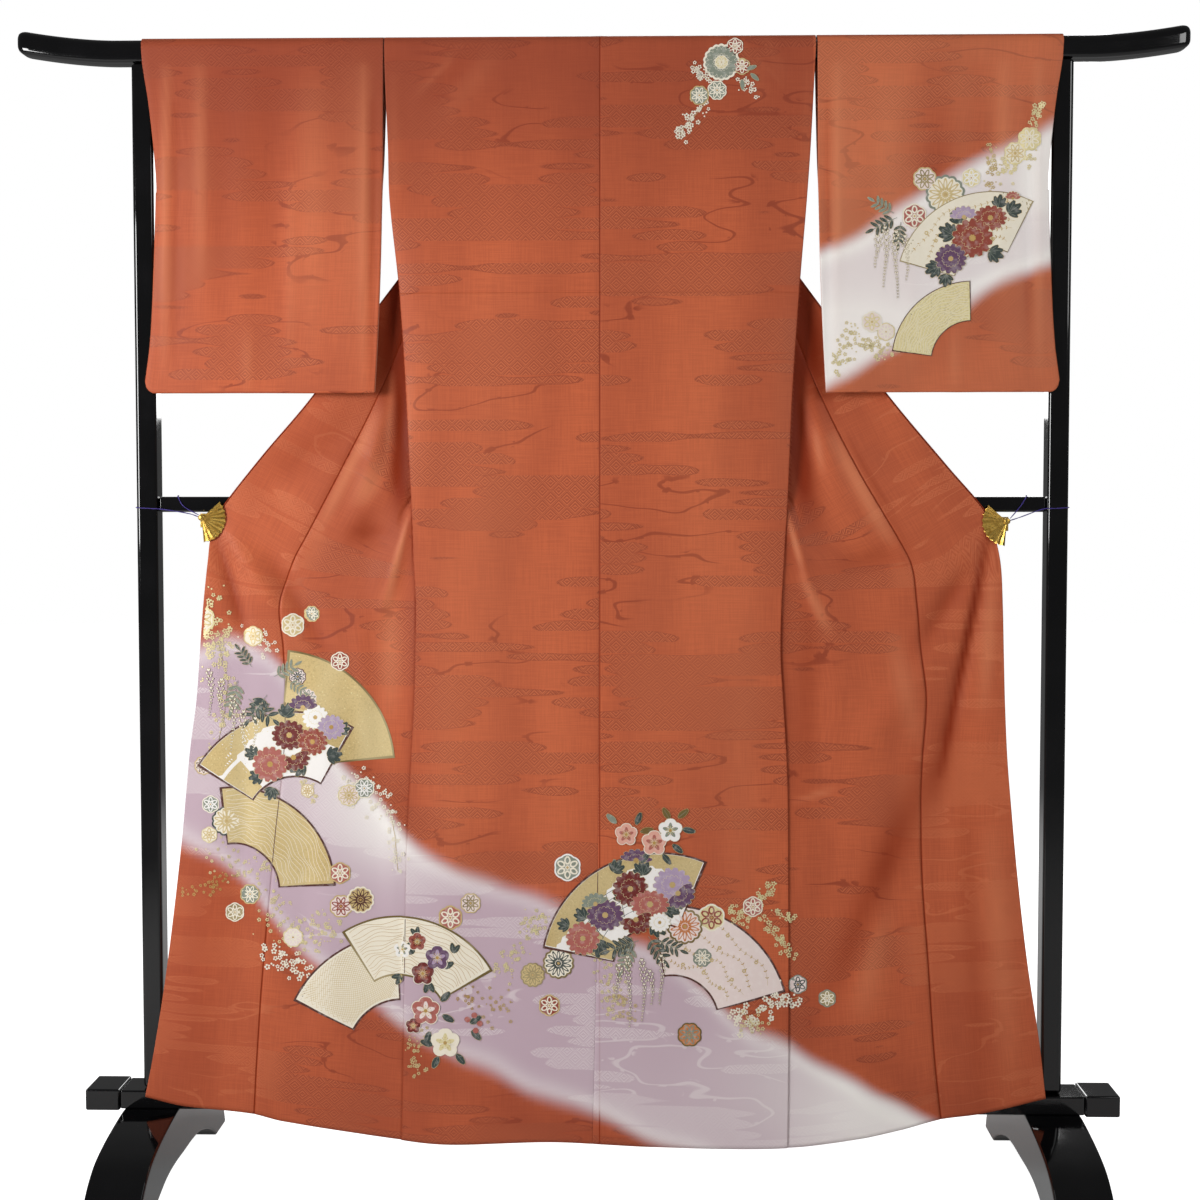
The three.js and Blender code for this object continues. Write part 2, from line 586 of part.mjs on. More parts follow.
/** Sleeve: a bag of cloth folded over the rail, open at the cuff and along its inner edge. */
function sleeve(side) {
  const loops = SLEEVE_ACROSS.map((share) => [
    ...SLEEVE_HEIGHTS.map((z) => sleevePoint(side, share, z, 'near')),
    ...SLEEVE_ARC.map((s) => {
      const at = overRail(s);
      const outer = s > 0 ? 'farOuter' : 'outer';
      const x = lerp(sleeveAt('inner', at.z), sleeveAt(outer, at.z), share);
      return place(side.sign * x, at.depth, at.z);
    }),
    ...[...SLEEVE_HEIGHTS].reverse().map((z) => sleevePoint(side, share, z, 'far')),
    ...sleeveBottom(side, share),
  ]);
  const rows = loops[0].map((_, i) => loops.map((loop) => loop[i]));
  const closing = SLEEVE_HEIGHTS.filter((z) => z <= SLEEVE_FORM.cuffEnd).map((z) => {
    const near = sleevePoint(side, 1, z, 'near');
    const far = sleevePoint(side, 1, z, 'far');
    const inset = new THREE.Vector3(-side.sign * CLOTH.wall / 2, 0, 0);
    return [near.add(inset), far.add(inset)];
  });
  return joined([sheet(rows, CLOTH.wall, true), sheet(closing, CLOTH.wall)]);
}

// ---------------------------------------------------------------- clips and cords

/** Clip with a pleated fan, its back jaw and barrel in one piece. */
function clip(side) {
  const { x, z } = side.clip;
  const fan = [CLIP.fanInner, CLIP.fanMiddle, CLIP.fanOuter].map((radius) => steps(2 * CLIP.ribs).map((t, i) => {
    const angle = THREE.MathUtils.degToRad(lerp(CLIP.startDeg, CLIP.endDeg, t));
    const pleat = (i % 2 ? 1 : -1) * CLIP.pleat * (radius / CLIP.fanOuter);
    return place(x - side.sign * radius * Math.cos(angle), CLIP.fanDepth + pleat, z + radius * Math.sin(angle));
  }));
  const barrelLong = CLIP.fanDepth - CLIP.jawDepth + 2 * CLIP.barrelProud;
  const { barrelRadius, barrelSides } = CLIP;
  const barrel = new THREE.CylinderGeometry(barrelRadius, barrelRadius, barrelLong, barrelSides);
  barrel.translate(x, -(CLIP.fanDepth + CLIP.jawDepth) / 2, z);
  const jaw = new THREE.BoxGeometry(CLIP.jawLong, CLIP.jawWall, CLIP.jawHigh);
  jaw.translate(x - side.sign * (CLIP.jawLong / 2 - CLIP.jawBehind), -CLIP.jawDepth, z - CLIP.jawDrop);
  return joined([sheet(fan, CLIP.wall), barrel, jaw]);
}

/** Smooth tube of the cord along its points. */
function cord(points) {
  const path = new THREE.CatmullRomCurve3(points, false, 'centripetal');
  const section = new THREE.Shape(steps(CORD.sides).slice(1).map((t) => new THREE.Vector2(
    CORD.radius * Math.cos(2 * Math.PI * t),
    CORD.radius * Math.sin(2 * Math.PI * t),
  )));
  return new THREE.ExtrudeGeometry(section, { steps: CORD.steps, extrudePath: path, bevelEnabled: false });
}

/** Route of a cord: from the clip round the post and back over the middle rail. */
function cordRoute(side) {
  const { sign, clip: at } = side;
  const barrel = Math.abs(at.x) + CLIP.barrelRadius + CORD.offBarrel;
  const postFace = STAND.postDeep / 2 + CORD.offWood;
  const postIn = STAND.postX - STAND.postWide / 2 - CORD.offWood;
  const postOut = STAND.postX + STAND.postWide / 2 + CORD.offWood;
  const railTop = STAND.midRailHigh + CORD.offRail;
  const railFace = STAND.midRailDeep / 2 + CORD.offWood;
  // Distance from the middle, depth and height: out to the post, round it, over the rail and back
  const route = [
    [barrel, 18.5, at.z + 1],
    [barrel + 15, 19, at.z + 6],
    [postIn - 6, postFace - 0.2, 988],
    [postIn + 10, postFace, 989],
    [postOut - 6, postFace, 990],
    [postOut, postFace - 7, 990.5],
    [postOut, 7 - postFace, 991],
    [postOut - 6, -postFace, 991.5],
    [postIn + 8, -postFace, 994],
    [postIn - 8, 4 - postFace, 1000],
    [postIn - 20, -railFace, railTop - 2],
    [postIn - 24, -6, railTop],
    [postIn - 26, 6, railTop],
    [postIn - 28, railFace, railTop - 3],
    [postIn - 36, railFace + 2, 992],
    [barrel + 1, 15, at.z + 4],
  ];
  return route.map(([x, depth, z]) => place(sign * x, depth, z));
}

// ---------------------------------------------------------------- stand

/** Section of the top rail at a distance x, rounder above than below. */
function railSection(x, scale) {
  const rise = STAND.railRise * (Math.max(Math.abs(x) - STAND.railStraight, 0)
    / (STAND.railReach - STAND.railStraight)) ** STAND.railRisePower;
  const { sides, roundnessBelow } = RAIL_SECTION;
  return steps(sides).slice(0, -1).map((t) => {
    const angle = 2 * Math.PI * (t + 0.5 / sides);
    const power = 2 / (Math.sin(angle) > 0 ? DRAPE.roundness : roundnessBelow);
    return place(
      x,
      scale * STAND.railHalfDepth * signedPower(Math.cos(angle), power),
      STAND.railCentreZ + rise + scale * STAND.railHalfHeight * signedPower(Math.sin(angle), power),
    );
  });
}

/** Top rail, with both ends rising and rounded off. */
function topRail() {
  const right = RAIL_STATIONS.map(({ x, share }) => railSection(x, share));
  const left = [...RAIL_STATIONS].reverse().map(({ x, share }) => railSection(-x, share));
  return loft([...left, ...right]);
}

/** Upright with chamfered edges, made about its own middle and turned to stand. */
function chamferedBar(width, depth, length, chamfer) {
  const [w, d] = [width / 2, depth / 2];
  const outline = new THREE.Shape([
    [-w + chamfer, -d], [w - chamfer, -d], [w, -d + chamfer], [w, d - chamfer],
    [w - chamfer, d], [-w + chamfer, d], [-w, d - chamfer], [-w, -d + chamfer],
  ].map(([a, b]) => new THREE.Vector2(a, b)));
  return new THREE.ExtrudeGeometry(outline, { depth: length, bevelEnabled: false });
}

/** Foot: an arched block with a rising back, standing on a pad at each toe. */
function foot() {
  const outline = new THREE.Shape();
  outline.moveTo(-FOOT_BACK[0][0], FOOT_BACK[0][1]);
  for (const [y, z] of FOOT_BACK) outline.lineTo(y, z);
  for (const [y, z] of FOOT_ARCH) outline.lineTo(y, z);
  for (const [y, z] of [...FOOT_ARCH].reverse()) outline.lineTo(-y, z);
  for (const [y, z] of [...FOOT_BACK].reverse().slice(0, -1)) outline.lineTo(-y, z);
  const solid = new THREE.ExtrudeGeometry(outline, { depth: STAND.footWide, bevelEnabled: false });
  solid.translate(0, 0, -STAND.footWide / 2);
  solid.rotateX(Math.PI / 2);
  solid.rotateZ(Math.PI / 2);
  return solid;
}

// ---------------------------------------------------------------- materials and assembly

const silk = new THREE.MeshStandardMaterial({ color: '#b9583c', roughness: 0.62, side: THREE.DoubleSide });
const lacquer = new THREE.MeshStandardMaterial({ color: '#0a0a0c', roughness: 0.12 });
const gilt = new THREE.MeshStandardMaterial({ color: '#b8973f', roughness: 0.35, metalness: 1 });
const braid = new THREE.MeshStandardMaterial({ color: '#2a1a6a', roughness: 0.8 });

const kimono = new THREE.Group();

function add(name, geometry, material) {
  const mesh = new THREE.Mesh(geometry, material);
  mesh.name = name;
  kimono.add(mesh);
  return mesh;
}

for (const [name, side] of Object.entries(SIDES)) {
  add(`body_${name}`, bodyLength(side), silk);
  add(`overlap_${name}`, overlapStrip(side), silk);
  add(`sleeve_${name}`, sleeve(side), silk);
  add(`clip_${name}`, clip(side), gilt);
  add(`clip_cord_${name}`, cord(cordRoute(side)), braid);
}
add('collar_band', collarBand(), silk);

add('stand_top_rail', topRail(), lacquer);
const midRail = chamferedBar(STAND.midRailHigh - STAND.midRailLow, STAND.midRailDeep,
  2 * (STAND.postX - STAND.postWide / 2 - SLACK), STAND.midRailChamfer);
const railMesh = add('stand_middle_rail', midRail, lacquer);
railMesh.rotation.y = Math.PI / 2;
railMesh.position.set(-(STAND.postX - STAND.postWide / 2 - SLACK), 0, (STAND.midRailLow + STAND.midRailHigh) / 2);

const plank = add('stand_base_plank', chamferedBar(STAND.plankHigh - STAND.plankLow, STAND.plankDeep,
  2 * (STAND.plankReach - STAND.capLong - SLACK), STAND.plankChamfer), lacquer);
plank.rotation.y = Math.PI / 2;
plank.position.set(-(STAND.plankReach - STAND.capLong - SLACK), 0, (STAND.plankLow + STAND.plankHigh) / 2);

for (const [name, side] of Object.entries(SIDES)) {
  const x = side.sign * STAND.postX;
  const railUnder = STAND.railCentreZ - STAND.railHalfHeight;
  const post = add(`stand_post_${name}`, chamferedBar(STAND.postWide, STAND.postDeep,
    railUnder - STAND.plankHigh - 2 * SLACK, STAND.postChamfer), lacquer);
  post.position.set(x, 0, STAND.plankHigh + SLACK);

  const high = STAND.plankHigh - STAND.plankLow + 2 * STAND.capProud;
  const cap = add(`stand_plank_cap_${name}`, chamferedBar(high, STAND.plankDeep + 2 * STAND.capProud,
    STAND.capLong, STAND.capChamfer), lacquer);
  cap.rotation.y = Math.PI / 2;
  cap.position.set(side.sign * (STAND.plankReach - STAND.capLong / 2) - STAND.capLong / 2, 0,
    (STAND.plankLow + STAND.plankHigh) / 2);

  const block = add(`stand_foot_${name}`, foot(), lacquer);
  block.position.set(x, 0, 0);
}

export default kimono;
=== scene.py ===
"""Visiting kimono (houmongi) hung over the top rail of a black lacquered kimono stand.

Sizes in the tables are millimetres; meshes are made in metres. The back of the garment faces -Y, and
"depth" is the distance towards that side, so a point's Y is minus its depth.
"""
import logging
import math
import random
from dataclasses import dataclass, field
from enum import Enum
from functools import lru_cache
from typing import Callable, Iterable, NamedTuple, Sequence

import bmesh
import bpy
from mathutils import Matrix, Vector, noise


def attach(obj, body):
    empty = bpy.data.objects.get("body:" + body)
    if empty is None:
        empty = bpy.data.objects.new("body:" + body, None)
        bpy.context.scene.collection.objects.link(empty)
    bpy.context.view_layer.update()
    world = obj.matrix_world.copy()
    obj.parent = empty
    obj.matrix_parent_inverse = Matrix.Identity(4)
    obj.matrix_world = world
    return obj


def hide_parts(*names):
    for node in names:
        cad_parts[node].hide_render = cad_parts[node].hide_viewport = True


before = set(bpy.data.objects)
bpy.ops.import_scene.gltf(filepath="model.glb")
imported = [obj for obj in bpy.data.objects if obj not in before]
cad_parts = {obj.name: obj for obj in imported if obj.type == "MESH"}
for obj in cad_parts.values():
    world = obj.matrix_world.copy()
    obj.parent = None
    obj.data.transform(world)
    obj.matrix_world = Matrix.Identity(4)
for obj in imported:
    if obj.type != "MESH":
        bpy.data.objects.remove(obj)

log = logging.getLogger("kimono")
MM = 0.001
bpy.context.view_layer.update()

Row = tuple[float, ...]
Pair = tuple[float, float]
Placed = tuple[Vector, Pair]      # a point of the cloth, and where it lies on the uncut cloth
Rgba = tuple[float, float, float, float]


# ------------------------------------------------------------------ small functions

def along(rows: Sequence[Row], column: int, key: float) -> float:
    """Read a table smoothly (cubic through its rows).

    Args:
        rows: rows whose first number is the key, rising.
        column: the column to read.
        key: where to read it.

    Returns:
        The column's value at the key, held level past both ends.
    """
    last = len(rows) - 1
    if key <= rows[0][0]:
        return rows[0][column]
    if key >= rows[last][0]:
        return rows[last][column]
    i = next(n for n in range(last) if key <= rows[n + 1][0])
    span = rows[i + 1][0] - rows[i][0]

    def slope(a: int, b: int) -> float:
        """Slope of the column between two rows."""
        return (rows[b][column] - rows[a][column]) / (rows[b][0] - rows[a][0])

    m0 = slope(max(i - 1, 0), i + 1) * span
    m1 = slope(i, min(i + 2, last)) * span
    t = (key - rows[i][0]) / span
    return ((2 * t ** 3 - 3 * t ** 2 + 1) * rows[i][column] + (t ** 3 - 2 * t ** 2 + t) * m0
            + (3 * t ** 2 - 2 * t ** 3) * rows[i + 1][column] + (t ** 3 - t ** 2) * m1)


def lerp(a: float, b: float, t: float) -> float:
    """Value between a and b."""
    return a + (b - a) * t


def clamp(value: float, low: float = 0.0, high: float = 1.0) -> float:
    """Value kept between low and high."""
    return min(max(value, low), high)


def smooth(value: float, low: float, high: float) -> float:
    """Smooth step from 0 at low to 1 at high."""
    t = clamp((value - low) / (high - low))
    return t * t * (3 - 2 * t)


def bell(distance: float, half: float) -> float:
    """Soft bump, 1 at no distance."""
    return math.exp(-((distance / half) ** 2))


def signed_power(value: float, power: float) -> float:
    """Power of the size of a number, with its sign kept."""
    return math.copysign(abs(value) ** power, value)


def tint(code: str) -> Rgba:
    """Linear colour of an sRGB hex code."""
    def channel(pair: str) -> float:
        """One channel in linear light."""
        v = int(pair, 16) / 255
        return v / 12.92 if v <= 0.04045 else ((v + 0.055) / 1.055) ** 2.4
    return channel(code[1:3]), channel(code[3:5]), channel(code[5:7]), 1.0


# ------------------------------------------------------------------ measures of the garment and stand

class Side(Enum):
    """Side of the stand, by the sign of X."""
    LEFT = -1
    RIGHT = 1

    @property
    def word(self) -> str:
        """Lower-case name used in piece names."""
        return self.name.lower()

    @classmethod
    def of(cls, x: float) -> "Side":
        """Side on which a distance along the stand lies."""
        return cls.LEFT if x < 0 else cls.RIGHT


# Height, then distance of the side seam, front seam and outer edge from the middle
CUT: dict[Side, tuple[Row, ...]] = {
    Side.LEFT: (
        (75, 286, 500, 658), (160, 284, 496, 645), (300, 281, 487, 626), (500, 277, 469, 603),
        (640, 270, 454, 590), (715, 266, 452, 580), (790, 264, 455, 574), (853, 263, 460, 569),
        (914, 266, 440, 563), (950, 267, 421, 559), (980, 268, 405, 547), (1061, 272, 363, 485),
        (1149, 276, 319, 411), (1290, 285, 259, 308), (1425, 298, 201, 206), (1500, 300, 151, 153),
        (1600, 304, 87, 88), (1660, 305, 87, 88)),
    Side.RIGHT: (
        (75, 270, 490, 639), (182, 271, 480, 629), (320, 271, 471, 611), (462, 270, 461, 596),
        (572, 269, 459, 586), (633, 267, 461, 581), (714, 262, 466, 577), (780, 258, 459, 575),
        (853, 259, 452, 573), (910, 262, 444, 570), (950, 264, 423, 562), (980, 266, 405, 550),
        (1049, 269, 365, 492), (1149, 273, 315, 409), (1290, 282, 257, 303), (1425, 292, 201, 206),
        (1500, 297, 151, 153), (1600, 302, 87, 88), (1660, 305, 87, 88)),
}
CENTRE_LINE: tuple[Row, ...] = ((75, -10), (430, -3), (860, -1), (1660, 0))
# Height, then depth of the back, of the opened fronts and of the side seam
HANG: tuple[Row, ...] = (
    (75, 43, 38, 39.5), (150, 42.5, 36, 38.5), (560, 36, 28, 33), (853, 31, 21, 28),
    (970, 29, 17.5, 26.5), (1012, 28.5, 16, 25.5), (1290, 25, -3.3, 15), (1440, 23, -13.7, 7),
    (1638, 20.4, -27.4, 0))
HEM: tuple[Row, ...] = (
    (-660, 139), (-605, 126), (-503, 115), (-458, 104), (-288, 79), (-214, 73), (-68, 78), (79, 72),
    (270, 71), (372, 84), (434, 98), (489, 114), (545, 122), (640, 145))
HEM_Z, HEM_FADE_TOP = 75.0, 700.0
RAIL_Z, DRAPE_DEPTH, DRAPE_HEIGHT, DRAPE_ROUND, QUARTER = 1638.0, 20.4, 18.6, 2.6, 30.0
NECK_HALF, NECK_START, NECK_END = 88.0, -1.0, 68.0
BAND_INNER, BAND_RISE, CROWN, CROWN_WIDTH = 33.0, 16.0, 8.0, 45.0
TURN_RADIUS, TURN_TOP_Z, TURN_TOP_X, TURN_END_Z, TURN_END_X = 3.5, 1600.0, 88.0, 970.0, 265.0
OPEN_Z, CLOSED_Z = 955.0, 1040.0
TUCK_Z, TUCK_STEP, TUCK_FADE = 1294.0, 1.6, 70.0
BACK_SWING, FRONT_SWING, SEAM_TOP, ARMHOLE = 26.0, 32.0, 1290.0, 1440.0
SEAM_LAP = 12.0           # how far a front runs on behind the back at the side seam
CENTRE_DIP, FRONT_DIP = (0.7, 2.4), (0.75, 2.2)   # depth and half width of a seam's groove
SEAM_HALF = 1.05          # half the step between back and front at the side seam
CLOTH = 1.1               # thickness of the cloth with its lining
SEAM_MEET = 0.03          # how far two pieces run past the seam between them
OVERLAP_TOP, FLAT_TOP = 1420.0, 1618.0    # upper ends of the overlap strips and of the flat cloth
COLLAR_WIDTH, NECK_BAND, COLLAR_LEAD = 68.0, 55.0, 12.0
ROLL_STEPS, BAND_STEPS = 8, 6
# Places on the uncut cloth: how far the right half lies from the left one, and the front seam
RIGHT_SHIFT, FRONT_SEAM_U = 700.0, 360.0
# Height, then inner edge, outer edge, far layer's outer edge, and depths of the near and far layers
SLEEVE: tuple[Row, ...] = (
    (1153, 320, 648, 648, 27.5, 22.5), (1240, 315, 639, 639, 26.5, 21.8),
    (1330, 311, 634, 634, 25.2, 21.2), (1437, 308, 630, 630, 23.8, 19.8),
    (1480, 307, 632, 632, 23.2, 9), (1560, 306.5, 640, 634, 22, -10),
    (1620, 306, 649, 634, 20.8, -19.6), (1638, 306, 650, 640, 20.4, -20.4),
    (1660, 306, 651, 648, 20.4, -20.4))
SLEEVE_BOTTOM, CUFF_END, SLEEVE_CORNER, CORNER_FADE = 1153.0, 1437.0, 14.0, 60.0


class Crease(NamedTuple):
    """Fold along a line: its ends, half width, rise, and whether its crest is sharp."""
    x0: float
    z0: float
    x1: float
    z1: float
    half: float
    rise: float
    sharp: bool = False


FRONT_FOLDS: dict[Side, tuple[Crease, ...]] = {
    Side.LEFT: (
        Crease(552, 950, 503, 790, 12, -6), Crease(552, 945, 506, 800, 4, -2.0, True),
        Crease(528, 945, 462, 850, 15, 6), Crease(474, 914, 386, 780, 17, -6.5),
        Crease(542, 953, 500, 880, 3, -1.2, True), Crease(568, 900, 545, 640, 20, 3),
        Crease(270, 982, 316, 832, 7, 5.0, True), Crease(282, 985, 330, 820, 20, 3),
        Crease(345, 952, 292, 946, 15, -5), Crease(425, 700, 350, 560, 26, 3.2),
        Crease(380, 700, 400, 90, 45, 4), Crease(560, 560, 585, 90, 36, 4),
        Crease(505, 780, 520, 300, 16, -1.8), Crease(350, 860, 330, 620, 14, 1.4),
        Crease(420, 560, 430, 160, 18, -1.6), Crease(300, 700, 296, 160, 16, 1.2)),
    Side.RIGHT: (
        Crease(552, 940, 488, 620, 12, -7), Crease(552, 938, 489, 640, 4, -3.0, True),
        Crease(538, 900, 506, 740, 10, 5), Crease(524, 905, 450, 780, 14, -6.5),
        Crease(500, 900, 440, 830, 6, 1.6, True), Crease(566, 900, 545, 560, 20, 3),
        Crease(270, 990, 314, 820, 7, 4.6, True), Crease(282, 985, 330, 800, 20, 3),
        Crease(430, 925, 345, 905, 18, -5), Crease(470, 760, 360, 640, 24, 4.0),
        Crease(372, 700, 380, 90, 45, 4), Crease(545, 520, 560, 90, 34, 4),
        Crease(500, 640, 512, 260, 16, 1.6), Crease(340, 840, 330, 600, 14, 1.4),
        Crease(420, 520, 424, 150, 18, -1.6), Crease(300, 700, 296, 160, 16, 1.2)),
}
# Creases of the turned part of both fronts, above the clips
SLANT_FOLDS: tuple[Crease, ...] = (
    Crease(316, 1049, 440, 1092, 4, -1.5, True), Crease(316, 1040, 440, 1083, 7, 1.2),
    Crease(306, 1135, 352, 965, 14, 6.0), Crease(330, 1120, 520, 985, 22, -2.2),
    Crease(284, 1160, 288, 970, 13, -4.0))
# Painted shade and highlights of the fronts' folds; the rise is the share of painted shade, or of painted
# highlight where it is below 0
PAINTED_FOLD_SHADE: dict[Side, tuple[Crease, ...]] = {
    Side.LEFT: (
        Crease(283, 1190, 291, 955, 14, 1.0), Crease(282, 1300, 318, 1110, 20, 0.8),
        Crease(345, 955, 290, 950, 12, 0.3), Crease(400, 720, 300, 470, 30, 0.25),
        Crease(474, 914, 386, 780, 14, 0.5), Crease(553, 955, 503, 790, 9, 0.75),
        Crease(542, 953, 500, 880, 2.5, 0.4, True), Crease(294, 1060, 278, 985, 9, 0.4),
        Crease(326, 990, 362, 930, 18, 0.5), Crease(345, 1150, 520, 985, 40, 0.4),
        Crease(336, 1118, 420, 955, 5, 0.3), Crease(560, 560, 600, 110, 40, 0.3),
        Crease(298, 1180, 304, 1045, 5, -0.7), Crease(322, 1122, 406, 952, 9, -0.6),
        Crease(322, 1046, 346, 984, 16, -0.55), Crease(271, 990, 306, 850, 5, -0.8),
        Crease(300, 860, 300, 690, 16, -0.4), Crease(470, 1035, 440, 980, 16, -0.3)),
    Side.RIGHT: (
        Crease(281, 1190, 289, 955, 13, 0.9), Crease(282, 1300, 318, 1110, 20, 0.8),
        Crease(282, 1120, 312, 945, 15, 0.6), Crease(300, 900, 292, 520, 16, 0.3),
        Crease(520, 560, 548, 120, 14, 0.3), Crease(462, 610, 324, 275, 24, 0.7),
        Crease(500, 700, 474, 560, 16, 0.5), Crease(430, 925, 335, 905, 18, 0.35),
        Crease(524, 905, 450, 780, 12, 0.5), Crease(553, 955, 487, 610, 7, 1.2),
        Crease(352, 1090, 443, 925, 5, 0.45), Crease(305, 1105, 316, 1035, 6, -0.6),
        Crease(332, 1090, 424, 924, 11, -0.65), Crease(263, 990, 290, 895, 5, -0.8),
        Crease(290, 890, 326, 812, 9, -0.7), Crease(279, 572, 337, 589, 5, -0.5),
        Crease(558, 886, 546, 700, 10, -0.5), Crease(404, 440, 372, 255, 22, -0.4),
        Crease(420, 800, 452, 650, 16, -0.35), Crease(560, 520, 590, 150, 18, -0.3)),
}
BACK_FOLDS: tuple[Crease, ...] = (
    Crease(-268, 1180, -278, 1050, 9, 1.6), Crease(-250, 1250, -262, 1000, 26, 1.0),
    Crease(262, 1250, 262, 980, 24, 1.0), Crease(-150, 1280, -170, 400, 60, 1.2),
    Crease(150, 1280, 160, 420, 60, 1.2), Crease(-60, 900, -70, 120, 40, 0.9),
    Crease(70, 900, 60, 120, 44, 0.9), Crease(215, 900, 190, 120, 30, 1.2),
    Crease(-220, 900, -205, 120, 30, 1.2), Crease(196, 1640, 235, 1560, 14, 1.0),
    Crease(232, 1650, 262, 1590, 10, 0.9), Crease(-198, 1634, -262, 1570, 5, 1.7, True),
    Crease(-182, 1632, -246, 1560, 9, -1.3), Crease(-150, 1625, -226, 1535, 16, 1.0),
    Crease(206, 1636, 262, 1580, 4, 1.2, True), Crease(-292, 1600, -286, 1320, 7, 0.9),
    Crease(292, 1600, 286, 1320, 7, 0.9))
SLEEVE_FOLDS: tuple[Crease, ...] = (
    Crease(333, 1610, 335, 1150, 7, 1.5), Crease(321, 1560, 323, 1150, 5, -1.2),
    Crease(345, 1600, 352, 1170, 22, 0.8), Crease(470, 1610, 480, 1200, 30, -1.1),
    Crease(566, 1610, 566, 1300, 10, 1.3), Crease(614, 1610, 620, 1180, 7, 1.6),
    Crease(600, 1560, 604, 1200, 6, -1.1), Crease(532, 1600, 540, 1180, 18, -0.9),
    Crease(404, 1580, 410, 1190, 26, 0.9), Crease(438, 1460, 440, 1170, 9, 0.8),
    Crease(500, 1240, 502, 1150, 8, 0.9))


def fold_rise(folds: Sequence[Crease], x: float, z: float) -> float:
    """Height of a set of folds at a point.

    Args:
        folds: the folds' lines.
        x: distance along the stand.
        z: height.

    Returns:
        The rise, in millimetres.
    """
    rise = 0.0
    for fold in folds:
        dx, dz = fold.x1 - fold.x0, fold.z1 - fold.z0
        t = clamp(((x - fold.x0) * dx + (z - fold.z0) * dz) / (dx * dx + dz * dz))
        miss = math.hypot(x - fold.x0 - dx * t, z - fold.z0 - dz * t)
        if miss > 4 * fold.half:
            continue
        taper = math.sin(math.pi * clamp(t * 0.8 + 0.15))
        shape = math.exp(-miss / fold.half) if fold.sharp else bell(miss, fold.half)
        rise += fold.rise * taper * shape
    return rise


def hem_lift(x: float, z: float) -> float:
    """Lift of a point of the cloth, so that the bottom row follows the hem."""
    fade = clamp((HEM_FADE_TOP - z) / (HEM_FADE_TOP - HEM_Z)) ** 2
    return (along(HEM, 1, x) - HEM_Z) * fade if fade else 0.0


class Level(NamedTuple):
    """Everything that is the same across one height of one side."""
    side: float
    seam: float
    edge: float
    back: float
    front: float
    join: float
    centre: float


@lru_cache(maxsize=None)
def level(side: Side, z: float) -> Level:
    """Seams and depths at a height."""
    cut = (along(CUT[side], c, z) for c in (1, 2, 3))
    hang = (along(HANG, c, z) for c in (1, 2, 3))
    return Level(*cut, *hang, side.value * along(CENTRE_LINE, 1, z))


def dip(gap: float, size: float, half: float) -> float:
    """How much lower the cloth lies at a distance from a seam line."""
    return size * math.exp(-abs(gap) / half)


def ripple(x: float, z: float, size: float) -> float:
    """Gentle unevenness of hanging silk, longer down the cloth than across it."""
    place = Vector((x / 95.0, z / 330.0, 3.7))
    return size * (noise.noise(place) + 0.4 * noise.noise(place * 2.3))


def back_depth(side: Side, x: float, z: float) -> float:
    """Depth of the back at a distance x from the middle, with its tuck, folds and edge."""
    here = level(side, z)
    sewn = 1 - smooth(z, SEAM_TOP, ARMHOLE)
    reach = math.exp(-max(here.side - x, 0) / BACK_SWING)
    below = TUCK_Z - z
    tuck = TUCK_STEP * math.exp(-below / TUCK_FADE) if below > 0 else 0.0
    signed = side.value * x
    loose = fold_rise(BACK_FOLDS, signed, z) + ripple(signed, z, 1.1)
    edge_quiet = 1 - math.exp(-max(here.side - x, 0) / 12.0)
    valley = dip(x - here.centre, *CENTRE_DIP)
    return (here.back + (here.join + SEAM_HALF - here.back) * reach * sewn + tuck
            + loose * edge_quiet * smooth(1625 - z, 0, 80) - valley)


def front_depth(side: Side, x: float, z: float) -> float:
    """Depth of an opened front at a distance x from the middle."""
    here = level(side, z)
    opened = 1 - smooth(z, OPEN_Z, CLOSED_Z)
    reach = math.exp(-max(x - here.side, 0) / FRONT_SWING)
    edge = here.join - SEAM_HALF - here.front
    quiet = 1 - smooth(z, CLOSED_Z, CLOSED_Z + 60)
    signed = side.value * x
    away = 1 - math.exp(-max(x - here.side, 0) / 14.0)
    rise = fold_rise(FRONT_FOLDS[side], x, z) * quiet
    rise += fold_rise(SLANT_FOLDS, x, z) * (1 - quiet * 0.4)
    rise += ripple(signed + 900, z, 1.3) * lerp(1.0, away, opened) * smooth(1560 - z, 0, 200)
    groove = dip(x - here.seam, *FRONT_DIP) * smooth(1380 - z, 0, 60)
    return here.front + edge * reach * opened + rise - groove


def turn_x(z: float) -> float:
    """Distance from the middle of the line along which a front is turned over."""
    return lerp(TURN_END_X, TURN_TOP_X, clamp((z - TURN_END_Z) / (TURN_TOP_Z - TURN_END_Z)))


def over_rail(s: float, lift: float = 0.0) -> Pair:
    """Depth and height of the drape over the rail; s runs from the back (-) to the far side (+)."""
    angle = (s / QUARTER) * (math.pi / 2)
    power = 2 / DRAPE_ROUND
    return (-(DRAPE_DEPTH + lift) * signed_power(math.sin(angle), power),
            RAIL_Z + (DRAPE_HEIGHT + lift) * signed_power(math.cos(angle), power))


@lru_cache(maxsize=None)
def seam_run(side: Side, z: float) -> Pair:
    """Length of the front seam down to a height, and its slant there as an angle."""
    top = 1600.0
    if z >= top:
        return top - z, 0.5
    high, low = along(CUT[side], 2, z + 30), along(CUT[side], 2, z - 30)
    slant = math.atan2(low - high, 60.0) * smooth(z, 830, 960)
    upper = min(z + 20.0, top)
    before, _ = seam_run(side, upper)
    step = math.hypot(along(CUT[side], 2, z) - along(CUT[side], 2, upper), upper - z)
    return before + step, slant


